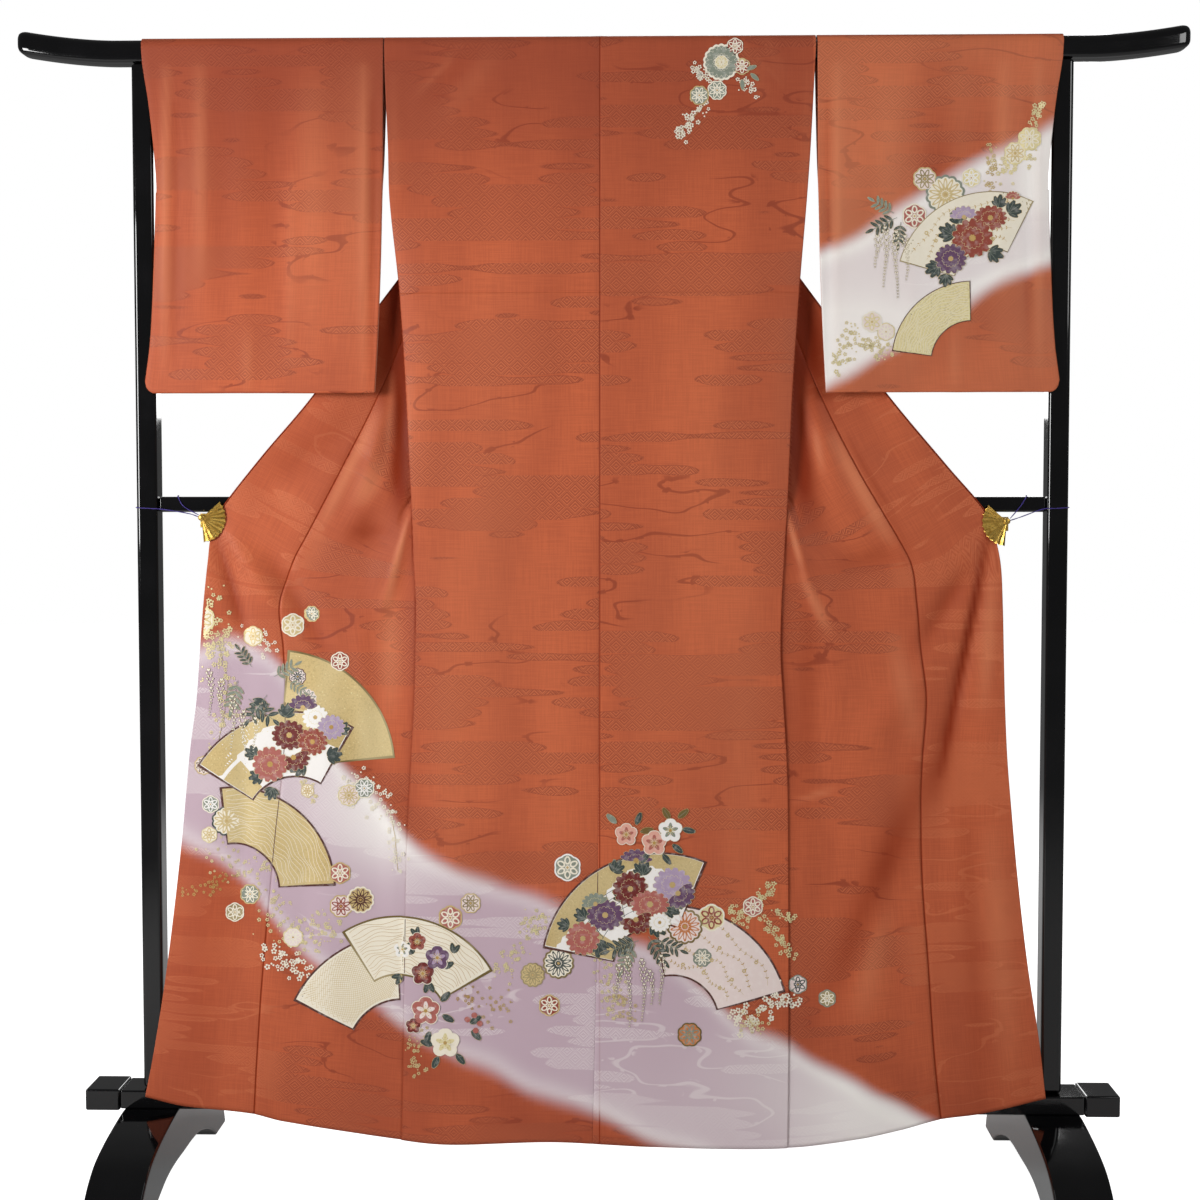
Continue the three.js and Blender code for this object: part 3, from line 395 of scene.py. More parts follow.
def front_cloth(side: Side, x: float, z: float) -> Pair:
    """Place on the uncut cloth of a point of an opened front: across, and down from the shoulder."""
    snapped = round(z)
    run, slant = seam_run(side, float(snapped))
    out = x - level(side, float(snapped)).seam
    return (side.value * (FRONT_SEAM_U + out * math.cos(slant)), 40.0 + run + out * math.sin(slant))


# ------------------------------------------------------------------ meshes

def even(count: int) -> list[float]:
    """Shares from 0 to 1 in even steps."""
    return [i / count for i in range(count + 1)]


@dataclass
class Cloth:
    """Cloth surface made from a grid whose points are moved to their place.

    Args:
        name: piece name.
        rows: keys of the rows, such as heights.
        columns: how many steps each row has.
        point: gives the place (mm) and the place on the uncut cloth (mm) of a row key and column.
        extra: further surfaces that are joined to this one in the same mesh.
    """
    name: str
    rows: Sequence[float]
    columns: int
    point: Callable[[float, int], Placed]
    extra: Sequence["Cloth"] = field(default_factory=tuple)

    def fill(self, bm: bmesh.types.BMesh) -> None:
        """Add this surface to a mesh, with its cloth coordinates."""
        made = bmesh.ops.create_grid(bm, x_segments=self.columns, y_segments=len(self.rows) - 1, size=0.5)
        layer = bm.loops.layers.uv.get("cloth") or bm.loops.layers.uv.new("cloth")
        verts = set(made["verts"])
        flat: dict[bmesh.types.BMVert, Pair] = {}
        for vert in verts:
            column = round((vert.co.x + 0.5) * self.columns)
            row = round((vert.co.y + 0.5) * (len(self.rows) - 1))
            place, cloth = self.point(self.rows[row], column)
            flat[vert] = cloth
            vert.co = place * MM
        for face in bm.faces:
            if face.verts[0] in verts:
                for loop in face.loops:
                    loop[layer].uv = (flat[loop.vert][0] * MM, flat[loop.vert][1] * MM)

    def build(self, dye_and_painted_shade: Callable[[Vector], Rgba], outward: Callable[[Vector], Vector]) -> bpy.types.Object:
        """Make the object.

        Args:
            dye_and_painted_shade: gives the dyeing, and the painted shade and highlights of folds and seams,
                at a place, in metres.
            outward: gives a direction that the cloth's face looks to at a place.

        Returns:
            The new object, with smooth faces and the attribute that holds the dyeing and the painted shade.
        """
        bm = bmesh.new()
        self.fill(bm)
        for other in self.extra:
            other.fill(bm)
        bmesh.ops.remove_doubles(bm, verts=bm.verts, dist=2e-5)
        bm.normal_update()
        score = sum(f.normal.dot(outward(f.calc_center_median())) for f in bm.faces[:])
        if score < 0:
            bmesh.ops.reverse_faces(bm, faces=bm.faces)
        obj = new_object(self.name, bm)
        # colour attribute of the dyeing, and of the painted shade and highlights of folds and seams
        paint = obj.data.color_attributes.new("dye_and_painted_shade", "FLOAT_COLOR", "POINT")
        for vert, value in zip(obj.data.vertices, paint.data):
            value.color = dye_and_painted_shade(vert.co)
        return obj


def thicken(obj: bpy.types.Object, wall: float) -> None:
    """Give a cloth surface its thickness, with the reverse in the next material slot."""
    shell = obj.modifiers.new("Thickness", "SOLIDIFY")
    shell.thickness = wall * MM
    shell.offset = 0.0
    shell.material_offset = 1
    shell.use_even_offset = False


def new_object(name: str, bm: bmesh.types.BMesh, shade_smooth: bool = True) -> bpy.types.Object:
    """Object from a bmesh, which is freed.

    Args:
        name: piece name.
        bm: the finished mesh, in metres.
        shade_smooth: whether faces are smooth.

    Returns:
        The new object at the origin.
    """
    mesh = bpy.data.meshes.new(name)
    bm.to_mesh(mesh)
    bm.free()
    for face in mesh.polygons:
        face.use_smooth = shade_smooth
    obj = bpy.data.objects.new(name, mesh)
    bpy.context.collection.objects.link(obj)
    return obj


def log_faces(obj: bpy.types.Object) -> None:
    """Log how many faces a piece has."""
    log.info("%s: %d faces", obj.name, len(obj.data.polygons))


# ------------------------------------------------------------------ shader helpers

class Nodes:
    """Short way to add and link the nodes of a material or group."""

    def __init__(self, tree: bpy.types.NodeTree) -> None:
        """Keep the tree."""
        self.tree = tree

    def add(self, kind: str, **values: object) -> bpy.types.Node:
        """Add a node and set its properties."""
        node = self.tree.nodes.new("ShaderNode" + kind)
        for key, value in values.items():
            setattr(node, key, value)
        return node

    def feed(self, socket: bpy.types.NodeSocket, value: object) -> None:
        """Link an output to a socket, or set the socket's own value."""
        if isinstance(value, bpy.types.NodeSocket):
            self.tree.links.new(value, socket)
        else:
            socket.default_value = value

    def math(self, operation: str, *values: object, clamp_it: bool = False) -> bpy.types.NodeSocket:
        """Math node's output."""
        node = self.add("Math", operation=operation, use_clamp=clamp_it)
        for socket, value in zip(node.inputs, values):
            self.feed(socket, value)
        return node.outputs[0]

    def mix(self, share: object, a: object, b: object) -> bpy.types.NodeSocket:
        """Colour between a and b."""
        node = self.add("Mix", data_type="RGBA", clamp_factor=True)
        self.feed(node.inputs[0], share)
        self.feed(node.inputs[6], a)
        self.feed(node.inputs[7], b)
        return node.outputs[2]

    def range(self, value: object, low: float, high: float, out_low: float = 0.0,
              out_high: float = 1.0) -> bpy.types.NodeSocket:
        """Smooth step between two values."""
        node = self.add("MapRange", interpolation_type="SMOOTHSTEP")
        for socket, item in zip(node.inputs, (value, low, high, out_low, out_high)):
            self.feed(socket, item)
        return node.outputs[0]

    def noise(self, vector: object, scale: float, detail: float = 2.0) -> bpy.types.NodeSocket:
        """Noise value."""
        node = self.add("TexNoise")
        self.feed(node.inputs["Vector"], vector)
        node.inputs["Scale"].default_value = scale
        node.inputs["Detail"].default_value = detail
        return node.outputs["Fac"]

    def stretch(self, vector: object, scale: tuple[float, float, float],
                shift: tuple[float, float, float] = (0, 0, 0), turn: float = 0.0) -> bpy.types.NodeSocket:
        """Vector scaled, turned about Z and shifted."""
        node = self.add("Mapping")
        self.feed(node.inputs["Vector"], vector)
        node.inputs["Scale"].default_value = scale
        node.inputs["Location"].default_value = shift
        node.inputs["Rotation"].default_value = (0, 0, turn)
        return node.outputs[0]

    def split(self, vector: object) -> Sequence[bpy.types.NodeSocket]:
        """The three numbers of a vector."""
        node = self.add("SeparateXYZ")
        self.feed(node.inputs[0], vector)
        return node.outputs[:]

    def use(self, name: str, vector: object) -> bpy.types.Node:
        """Node of a group, fed with a vector."""
        node = self.add("Group", node_tree=bpy.data.node_groups[name])
        self.feed(node.inputs[0], vector)
        return node

    def bump(self, shader: bpy.types.Node, height: object, strength: float,
             distance: float = 0.0003) -> None:
        """Give a shader a bump from a height."""
        node = self.add("Bump")
        node.inputs["Strength"].default_value = strength
        node.inputs["Distance"].default_value = distance
        self.feed(node.inputs["Height"], height)
        self.feed(shader.inputs["Normal"], node.outputs[0])


Group = tuple[bpy.types.NodeTree, Nodes, bpy.types.Node, bpy.types.Node]


def new_group(name: str, outputs: Sequence[str]) -> Group:
    """Empty shader node group that reads a vector and puts out values.

    Args:
        name: group name.
        outputs: name of each output.

    Returns:
        The group, its node helper, and its input and output nodes.
    """
    group = bpy.data.node_groups.new(name, "ShaderNodeTree")
    group.interface.new_socket(name="Vector", in_out="INPUT", socket_type="NodeSocketVector")
    for label in outputs:
        group.interface.new_socket(name=label, in_out="OUTPUT", socket_type="NodeSocketFloat")
    return group, Nodes(group), group.nodes.new("NodeGroupInput"), group.nodes.new("NodeGroupOutput")


def silk_grain_group() -> bpy.types.NodeTree:
    """Group: fine crepe threads of the silk, as a height and a tone."""
    group, n, start, end = new_group("Silk grain", ("Height", "Tone", "Threads"))
    v = start.outputs[0]
    warp = n.noise(n.stretch(v, (2600, 90, 1)), 1.0, 1.0)
    weft = n.noise(n.stretch(v, (120, 2100, 1)), 1.0, 1.0)
    crepe = n.noise(v, 900.0, 2.0)
    threads = n.math("ADD", n.math("MULTIPLY", warp, 0.55), n.math("MULTIPLY", weft, 0.45))
    height = n.math("ADD", n.math("MULTIPLY", threads, 0.6), n.math("MULTIPLY", crepe, 0.4))
    tone = n.noise(n.stretch(v, (9, 2.2, 1)), 1.0, 3.0)
    n.feed(end.inputs["Height"], height)
    n.feed(end.inputs["Tone"], tone)
    coarse_warp = n.noise(n.stretch(v, (620, 20, 1)), 1.0, 1.0)
    coarse_weft = n.noise(n.stretch(v, (22, 560, 1)), 1.0, 1.0)
    n.feed(end.inputs["Threads"], n.math("ADD", n.math("MULTIPLY", coarse_warp, 0.5),
                                         n.math("MULTIPLY", coarse_weft, 0.5)))
    return group


def seam_shade_group() -> bpy.types.NodeTree:
    """Group: mask of the painted shade along the centre seam and the two front seams of the cloth."""
    group, n, start, end = new_group("Seam line", ("Mask",))
    place = n.split(start.outputs[0])[0]
    across = n.math("ABSOLUTE", place)
    other_half = n.math("ABSOLUTE", n.math("SUBTRACT", place, RIGHT_SHIFT * MM))
    centre = n.math("MINIMUM", across, other_half)
    front = n.math("ABSOLUTE", n.math("SUBTRACT", across, FRONT_SEAM_U * MM))
    centre_line = n.range(centre, 0.0004, 0.0016, 1.0, 0.0)
    front_line = n.range(front, 0.0006, 0.0019, 1.0, 0.0)
    n.feed(end.inputs["Mask"], n.math("MAXIMUM", centre_line, front_line))
    return group


def mist_group() -> bpy.types.NodeTree:
    """Group: woven figure of mist banks filled with a small fret, with branch lines between them."""
    group, n, start, end = new_group("Mist figure", ("Figure", "Outline", "Bank"))
    v = start.outputs[0]
    across, down, _ = n.split(v)
    bar, cell = 0.0158, 0.0165     # height of a bar of mist, and width of a fret's square
    row = n.math("DIVIDE", down, bar)
    index = n.math("FLOOR", row)
    within = n.math("SUBTRACT", n.math("FRACT", row), 0.5)
    place = n.add("CombineXYZ")
    n.feed(place.inputs[0], n.math("MULTIPLY", across, 4.4))
    n.feed(place.inputs[1], n.math("MULTIPLY", index, 0.37))
    bank = n.noise(place.outputs[0], 1.0, 1.0)
    bulk = n.noise(n.stretch(v, (2.8, 9.0, 1), (4.1, 2.3, 0)), 1.0, 1.0)
    amount = n.math("ADD", n.math("MULTIPLY", bank, 0.62), n.math("MULTIPLY", bulk, 0.5))
    rounding = n.math("MULTIPLY", n.math("MULTIPLY", within, within), 0.14)
    inside = n.math("SUBTRACT", n.math("SUBTRACT", amount, rounding), 0.565)
    mask = n.range(inside, -0.002, 0.003)
    off_rim = n.math("ABSOLUTE", n.math("SUBTRACT", inside, 0.004))
    rim = n.range(off_rim, 0.002, 0.006, 1.0, 0.0)
    turned = n.stretch(v, (1 / cell, 1 / cell, 1), turn=math.radians(45))
    u, w = (n.math("SUBTRACT", n.math("FRACT", part), 0.5) for part in n.split(turned)[:2])
    square = n.math("MAXIMUM", n.math("ABSOLUTE", u), n.math("ABSOLUTE", w))
    half_turn = n.math("MULTIPLY", n.math("GREATER_THAN", u, w), 0.5)
    rings = n.math("FRACT", n.math("ADD", n.math("MULTIPLY", square, 5.0), half_turn))
    fret = n.range(n.math("ABSOLUTE", n.math("SUBTRACT", rings, 0.5)), 0.16, 0.32)
    filled = n.math("MULTIPLY", mask, n.math("ADD", n.math("MULTIPLY", fret, 0.85), 0.12))
    flow = n.noise(n.stretch(v, (5.0, 16.0, 1), (1.7, 0.4, 0)), 1.0, 1.5)
    off_line = n.math("ABSOLUTE", n.math("SUBTRACT", flow, 0.52))
    line = n.range(off_line, 0.004, 0.010, 1.0, 0.0)
    spread = n.range(n.noise(n.stretch(v, (4.0, 5.0, 1), (7.7, 5.1, 0)), 1.0, 1.0), 0.5, 0.56)
    leaf = n.range(n.noise(n.stretch(v, (46.0, 70.0, 1)), 1.0, 1.0), 0.60, 0.63)
    near_line = n.range(off_line, 0.012, 0.03, 1.0, 0.0)
    branch = n.math("MAXIMUM", line, n.math("MULTIPLY", leaf, near_line))
    free = n.math("SUBTRACT", 1.0, mask)
    branch = n.math("MULTIPLY", n.math("MULTIPLY", branch, spread), free)
    n.feed(end.inputs["Figure"], n.math("MAXIMUM", filled, n.math("MULTIPLY", branch, 0.9), clamp_it=True))
    n.feed(end.inputs["Outline"], rim)
    n.feed(end.inputs["Bank"], mask)
    return group


def new_material(name: str, colour: Rgba) -> tuple[bpy.types.Material, Nodes, bpy.types.Node]:
    """Node material with its Principled node, and its own helper.

    Args:
        name: material name.
        colour: viewport and first base colour.

    Returns:
        The material, the node helper and the Principled node.
    """
    material = bpy.data.materials.new(name)
    material.use_nodes = True
    material.diffuse_color = colour
    shader = material.node_tree.nodes["Principled BSDF"]
    shader.inputs["Base Color"].default_value = colour
    return material, Nodes(material.node_tree), shader


@dataclass(frozen=True)
class DyedSilk:
    """Figured silk with shaded dyeing, painted shade and painted highlights, and its reverse.

    The cloth's colour attribute holds the pale violet share in red, the white share in green, the deep share
    in blue (deeper dyeing beside the bands, painted shade over the shoulders, darker towards the hem), and in
    alpha the painted shade and highlights of folds and seams: painted shade above a half, painted highlights
    below.
    """
    ground: str = "#C4623D"
    deep: str = "#803423"
    violet: str = "#BDA5B0"
    white: str = "#F2EDE8"
    # painted shade: colour of the hollows of folds, of the seams, and of the whole collar band
    hollow: str = "#862A06"
    # painted sheen of the woven figure: on the mist banks, and in place of the dark figure on the turned
    # fronts
    painted_sheen: str = "#D47A52"
    # painted highlight on the crests of folds
    painted_highlight: str = "#DE8C63"
    reverse: str = "#D08A70"

    def face(self) -> bpy.types.Material:
        """Material of the outer face."""
        material, n, shader = new_material("silk_face", tint(self.ground))
        uv = n.add("UVMap", uv_map="cloth").outputs[0]
        dye_and_painted_shade = n.add("Attribute", attribute_type="GEOMETRY", attribute_name="dye_and_painted_shade")
        share = n.add("SeparateColor")
        n.feed(share.inputs[0], dye_and_painted_shade.outputs["Color"])
        grain, mist, seam = n.use("Silk grain", uv), n.use("Mist figure", uv), n.use("Seam line", uv)
        tone = n.range(grain.outputs["Tone"], 0.3, 0.7)
        ground = n.mix(n.math("MULTIPLY", tone, 0.34), tint(self.ground), tint(self.deep))
        threads = n.range(grain.outputs["Threads"], 0.38, 0.62)
        ground = n.mix(n.math("MULTIPLY", threads, 0.2), ground, tint(self.deep))
        off_middle = n.math("ABSOLUTE", n.split(uv)[0])
        past_front = n.range(off_middle, 0.31, 0.37)
        turned = n.math("MULTIPLY", past_front, n.range(off_middle, 0.58, 0.64, 1.0, 0.0))
        straight = n.math("SUBTRACT", 1.0, turned)
        # painted sheen: mist banks lighter on the straight cloth, and the figure drawn light instead of dark
        # on the turned fronts
        bank_share = n.math("MULTIPLY", mist.outputs["Bank"], n.math("MULTIPLY", straight, 0.34))
        lit = n.mix(bank_share, ground, tint(self.painted_sheen))
        woven = n.mix(turned, tint(self.deep), tint(self.painted_sheen))
        strength = n.math("SUBTRACT", 0.68, n.math("MULTIPLY", turned, 0.34))
        figured = n.mix(n.math("MULTIPLY", mist.outputs["Figure"], strength), lit, woven)
        outlined = n.math("MULTIPLY", mist.outputs["Outline"], n.math("MULTIPLY", strength, 0.5))
        figured = n.mix(outlined, figured, woven)
        # deep share: deeper dyeing beside the bands, painted shade over the shoulders, and darker towards the
        # hem
        deep = n.mix(n.math("MULTIPLY", share.outputs[2], 0.6), figured, tint(self.deep))
        pale = n.mix(n.math("MULTIPLY", mist.outputs["Figure"], 0.35), tint(self.violet), tint(self.white))
        violet = n.mix(share.outputs[0], deep, pale)
        dyed = n.mix(share.outputs[1], violet, tint(self.white))
        # painted shade in the hollows of folds and along the seams (less on the pale band), and painted
        # highlights on fold crests, from the attribute's alpha
        thread = n.math("SUBTRACT", 0.9, n.math("MULTIPLY", share.outputs[0], 0.72))
        folds = n.math("SUBTRACT", n.math("MULTIPLY", dye_and_painted_shade.outputs["Alpha"], 2.0), 1.0)
        painted_shade_share = n.math("MAXIMUM", folds, n.math("MULTIPLY", seam.outputs[0], thread))
        painted_highlight_share = n.math("MULTIPLY", folds, -0.75, clamp_it=True)
        with_painted_highlight = n.mix(painted_highlight_share, dyed, tint(self.painted_highlight))
        n.feed(shader.inputs["Base Color"], n.mix(painted_shade_share, with_painted_highlight, tint(self.hollow)))
        rough = n.math("SUBTRACT", 0.56, n.math("MULTIPLY", mist.outputs["Figure"], 0.10))
        n.feed(shader.inputs["Roughness"], n.math("ADD", rough, n.math("MULTIPLY", grain.outputs[0], 0.08)))
        raised = n.math("MULTIPLY", mist.outputs["Figure"], 0.5)
        n.bump(shader, n.math("ADD", grain.outputs["Height"], raised), 0.25)
        shader.inputs["Sheen Weight"].default_value = 0.02
        shader.inputs["Sheen Roughness"].default_value = 0.35
        shader.inputs["Specular IOR Level"].default_value = 0.2
        return material

    def back(self) -> bpy.types.Material:
        """Material of the reverse: plain silk lining in a lighter tone."""
        material, n, shader = new_material("silk_reverse", tint(self.reverse))
        uv = n.add("UVMap", uv_map="cloth").outputs[0]
        grain = n.use("Silk grain", uv)
        tone = n.range(grain.outputs["Tone"], 0.3, 0.7)
        shade = n.math("MULTIPLY", tone, 0.25)
        n.feed(shader.inputs["Base Color"], n.mix(shade, tint(self.reverse), tint(self.ground)))
        shader.inputs["Roughness"].default_value = 0.6
        shader.inputs["Sheen Weight"].default_value = 0.2
        n.bump(shader, grain.outputs["Height"], 0.2)
        return material


@dataclass(frozen=True)
class Lacquer:
    """Black polished lacquer on wood, with a faint unevenness, haze and dust."""
    colour: str = "#050506"
    haze: str = "#0E0D0F"

    def material(self) -> bpy.types.Material:
        """Lacquer material on Object coordinates."""
        material, n, shader = new_material("black_lacquer", tint(self.colour))
        place = n.add("TexCoord").outputs["Object"]
        haze = n.noise(place, 14.0, 4.0)
        dust = n.noise(place, 900.0, 2.0)
        veil = n.range(haze, 0.4, 0.75, 0, 0.5)
        n.feed(shader.inputs["Base Color"], n.mix(veil, tint(self.colour), tint(self.haze)))
        rough = n.math("ADD", n.range(haze, 0.3, 0.8, 0.05, 0.12), n.range(dust, 0.68, 0.78, 0.0, 0.08))
        n.feed(shader.inputs["Roughness"], rough)
        shader.inputs["Specular IOR Level"].default_value = 0.3
        shader.inputs["Coat Weight"].default_value = 0.45
        shader.inputs["Coat Roughness"].default_value = 0.06
        n.bump(shader, n.noise(place, 32.0, 2.0), 0.06, 0.001)
        return material


@dataclass(frozen=True)
class Gilt:
    """Stamped gilt sheet with rubbed highlights and darker hollows."""
    colour: str = "#D8B25A"
    dark: str = "#8A6626"

    def material(self) -> bpy.types.Material:
        """Gilt material on Object coordinates."""
        material, n, shader = new_material("gilt_brass", tint(self.colour))
        place = n.add("TexCoord").outputs["Object"]
        stain = n.noise(place, 160.0, 4.0)
        hollow = n.range(stain, 0.42, 0.7, 0, 0.6)
        n.feed(shader.inputs["Base Color"], n.mix(hollow, tint(self.colour), tint(self.dark)))
        shader.inputs["Metallic"].default_value = 1.0
        n.feed(shader.inputs["Roughness"], n.range(stain, 0.3, 0.7, 0.22, 0.42))
        n.bump(shader, n.noise(place, 1400.0, 2.0), 0.2)
        return material


@dataclass(frozen=True)
class Braid:
    """Twisted silk cord."""
    colour: str = "#2A1A6A"
    light: str = "#4A3A96"

    def material(self) -> bpy.types.Material:
        """Cord material: strands from the cord's own UV map."""
        material, n, shader = new_material("silk_braid", tint(self.colour))
        uv = n.add("UVMap", uv_map="cord").outputs[0]
        wave = n.add("TexWave", wave_type="BANDS", bands_direction="DIAGONAL")
        n.feed(wave.inputs["Vector"], uv)
        wave.inputs["Scale"].default_value = 1.0
        n.feed(shader.inputs["Base Color"], n.mix(wave.outputs["Fac"], tint(self.colour), tint(self.light)))
        shader.inputs["Roughness"].default_value = 0.6
        n.bump(shader, wave.outputs["Fac"], 0.5)
        return material


# ------------------------------------------------------------------ shaded dyeing, and painted shade and highlights of folds and seams

# X, then height of the pale band's upper and lower edges on the skirt and on the right sleeve
SKIRT_TOP: tuple[Row, ...] = (
    (-640, 781), (-576, 791), (-526, 802), (-477, 781), (-427, 717), (-385, 638), (-336, 588),
    (-279, 519), (-213, 475), (-140, 452), (-82, 433), (0, 393), (82, 352), (145, 307), (207, 252),
    (273, 219), (361, 175), (416, 141), (473, 110), (577, 65), (700, 10))
SKIRT_BOTTOM: tuple[Row, ...] = (
    (-643, 530), (-606, 511), (-545, 478), (-508, 445), (-480, 407), (-422, 345), (-287, 249),
    (-214, 207), (-141, 175), (-68, 141), (-1, 115), (79, 81), (231, 21), (400, -40), (700, -150))
SLEEVE_TOP: tuple[Row, ...] = ((283, 1333), (304, 1343), (390, 1391), (517, 1469), (628, 1522), (660, 1536))
SLEEVE_LOW: tuple[Row, ...] = ((270, 1115), (331, 1167), (410, 1211), (507, 1269), (590, 1315), (660, 1347))


class Glow(NamedTuple):
    """Round patch of white in the pale band."""
    x: float
    z: float
    radius: float
    share: float


GLOWS: tuple[Glow, ...] = (
    Glow(-330, 600, 90, 0.5), Glow(-295, 535, 70, 0.6), Glow(60, 110, 120, 0.12), Glow(250, 170, 110, 0.25),
    Glow(400, 110, 120, 0.85), Glow(330, 1190, 80, 0.7), Glow(420, 1215, 60, 0.4), Glow(635, 1450, 40, 0.8))


@dataclass(frozen=True)
class DyeingAndPaintedShade:
    """Pale bands, painted shade over the shoulders, and painted shade and highlights of folds and seams, over
    the whole cloth.

    Lengths are millimetres; a tone is a share of the painted shade colour, and a light one of the painted
    highlight colour.
    """
    edge_half: float = 16.0
    edge_wander: float = 9.0
    rim_white: float = 0.32
    sleeve_white: float = 0.7
    sleeve_from: float = 300.0
    sleeve_low: float = 1100.0
    near_layer: float = 15.0
    rail_low: float = 1430.0
    shoulder_low: float = 1340.0
    # painted shade over the shoulders, on the left and on the right
    shoulder_shade: Pair = (1.0, 0.85)
    # painted shade along the side seams, beside them on the fronts, and under the sleeves
    painted_seam_shade: float = 0.55
    painted_shade_beside_seam: float = 0.6
    beside_reach: float = 8.0
    painted_armpit_shade: float = 0.45
    # painted highlights on the sleeves' fold crests and painted shade in their hollows
    painted_sleeve_fold_shading: float = 0.26
    # painted highlights on the back's fold crests and painted shade in their hollows
    painted_back_fold_shading: float = 0.1
    # painted light over the whole right sleeve
    sleeve_light: float = 0.3
    seam_half: float = 1.2
    skirt_top: float = 900.0
    front_from: float = 8.0
    rim_gap: float = 40.0
    rim_half: float = 30.0
    rim_deep: float = 0.3
    # darker towards the hem
    hem_darkening: float = 0.35

    def band(self, top: Sequence[Row], low: Sequence[Row], x: float, z: float) -> Pair:
        """Share of pale dye, and of white at its soft edge.

        Args:
            top: upper edge of the band.
            low: lower edge of the band.
            x: distance along the stand.
            z: height.

        Returns:
            The pale share and the white share.
        """
        wander = self.edge_wander * noise.noise(Vector((x / 70, z / 70, 1.3)))
        above = along(top, 1, x) + wander - z
        below = z - along(low, 1, x) + wander
        within = min(above, below)
        pale = smooth(within, -self.edge_half, self.edge_half)
        return pale, bell(within - 10, self.edge_half) * self.rim_white * pale

    def is_right_sleeve(self, x: float, z: float, depth: float) -> bool:
        """Whether a point lies on the visible layer of the right sleeve, or on its rail."""
        near = depth > self.near_layer or z > self.rail_low
        return x > self.sleeve_from and z > self.sleeve_low and near

    def sleeve_tone(self, x: float, z: float, depth: float) -> float:
        """Painted highlights and shade of a sleeve's folds on its near layer, and painted light over the
        right sleeve.
        """
        if depth < self.near_layer:
            return 0.0
        # painted light over the right sleeve, with painted highlights and shade of its folds
        light = self.sleeve_light if x > 0 else 0.0
        return -self.painted_sleeve_fold_shading * fold_rise(SLEEVE_FOLDS, abs(x), z) - light

    def tone(self, x: float, z: float, depth: float) -> float:
        """Painted shade and highlights of folds and side seams.

        Args:
            x: distance along the stand.
            z: height.
            depth: distance forward of the rail's middle.

        Returns:
            The share of painted shade, or of painted highlight where it is below 0.
        """
        side = Side.RIGHT if x > 0 else Side.LEFT
        here = level(side, float(round(z)))
        off = abs(x) - here.side
        on_sleeve_layer = off > 3 and z > self.sleeve_low + 20 and depth > self.near_layer
        if on_sleeve_layer:
            return self.sleeve_tone(x, z, depth)
        if z > ARMHOLE:
            # painted highlights and shade of the back's folds over the shoulders
            return -self.painted_back_fold_shading * fold_rise(BACK_FOLDS, x, z) if depth > self.near_layer else 0.0
        if abs(x) > here.edge + 8 or depth < -12:
            return 0.0
        # painted shade along the side seam, beside it on the front and under the sleeve, with the painted
        # fold shading of the table
        seam = self.painted_seam_shade * bell(off, self.seam_half)
        if off <= 0:
            return seam - self.painted_back_fold_shading * fold_rise(BACK_FOLDS, x, z)
        beside = self.painted_shade_beside_seam * math.exp(-off / self.beside_reach) * smooth(z, 300, 900)
        armpit = self.painted_armpit_shade * smooth(z, 1130, 1260)
        return seam + beside + armpit + fold_rise(PAINTED_FOLD_SHADE[side], abs(x), z)

    def at(self, place: Vector) -> Rgba:
        """Dye amounts of the visible side of the cloth at a place in metres, with its painted shade and
        highlights, as DyedSilk reads them.
        """
        x, z, depth = place.x / MM, place.z / MM, -place.y / MM
        # painted shade and highlights of folds and seams, kept off most of the pale band below
        tone = 0.5 * clamp(self.tone(x, z, depth), -1.0, 1.0)
        sleeve = self.is_right_sleeve(x, z, depth)
        if not sleeve and (z > self.skirt_top or depth < self.front_from):
            # painted shade at the top of the back and sleeves, carried in the deep share
            shade = self.shoulder_shade[0 if x < 0 else 1] if depth > self.near_layer else 0.0
            return 0.0, 0.0, shade * smooth(z, self.shoulder_low, RAIL_Z), 0.5 + tone
        top, low = (SLEEVE_TOP, SLEEVE_LOW) if sleeve else (SKIRT_TOP, SKIRT_BOTTOM)
        pale, white = self.band(top, low, x, z)
        white += sum(g.share * bell(math.hypot(x - g.x, z - g.z), g.radius) for g in GLOWS)
        white += self.sleeve_white if sleeve else 0.0
        gap = min(abs(along(top, 1, x) - z), abs(z - along(low, 1, x)))
        rim = self.rim_deep * bell(gap - self.rim_gap, self.rim_half)
        # deeper dyeing beside the band's edges, and darker towards the hem
        deep = (1 - pale) * (rim + self.hem_darkening * smooth(-z, -420, -60))
        return pale, clamp(white) * pale, deep, 0.5 + tone * (1 - 0.9 * pale)


DYEING_AND_SHADE = DyeingAndPaintedShade()


# ------------------------------------------------------------------ garment

def shares(runs: Sequence[tuple[float, int]]) -> list[float]:
    """Shares of a row from 0, with a number of even steps up to each run's end."""
    out = [0.0]
    for end, count in runs:
        start = out[-1]
        out += [lerp(start, end, (i + 1) / count) for i in range(count)]
    return out


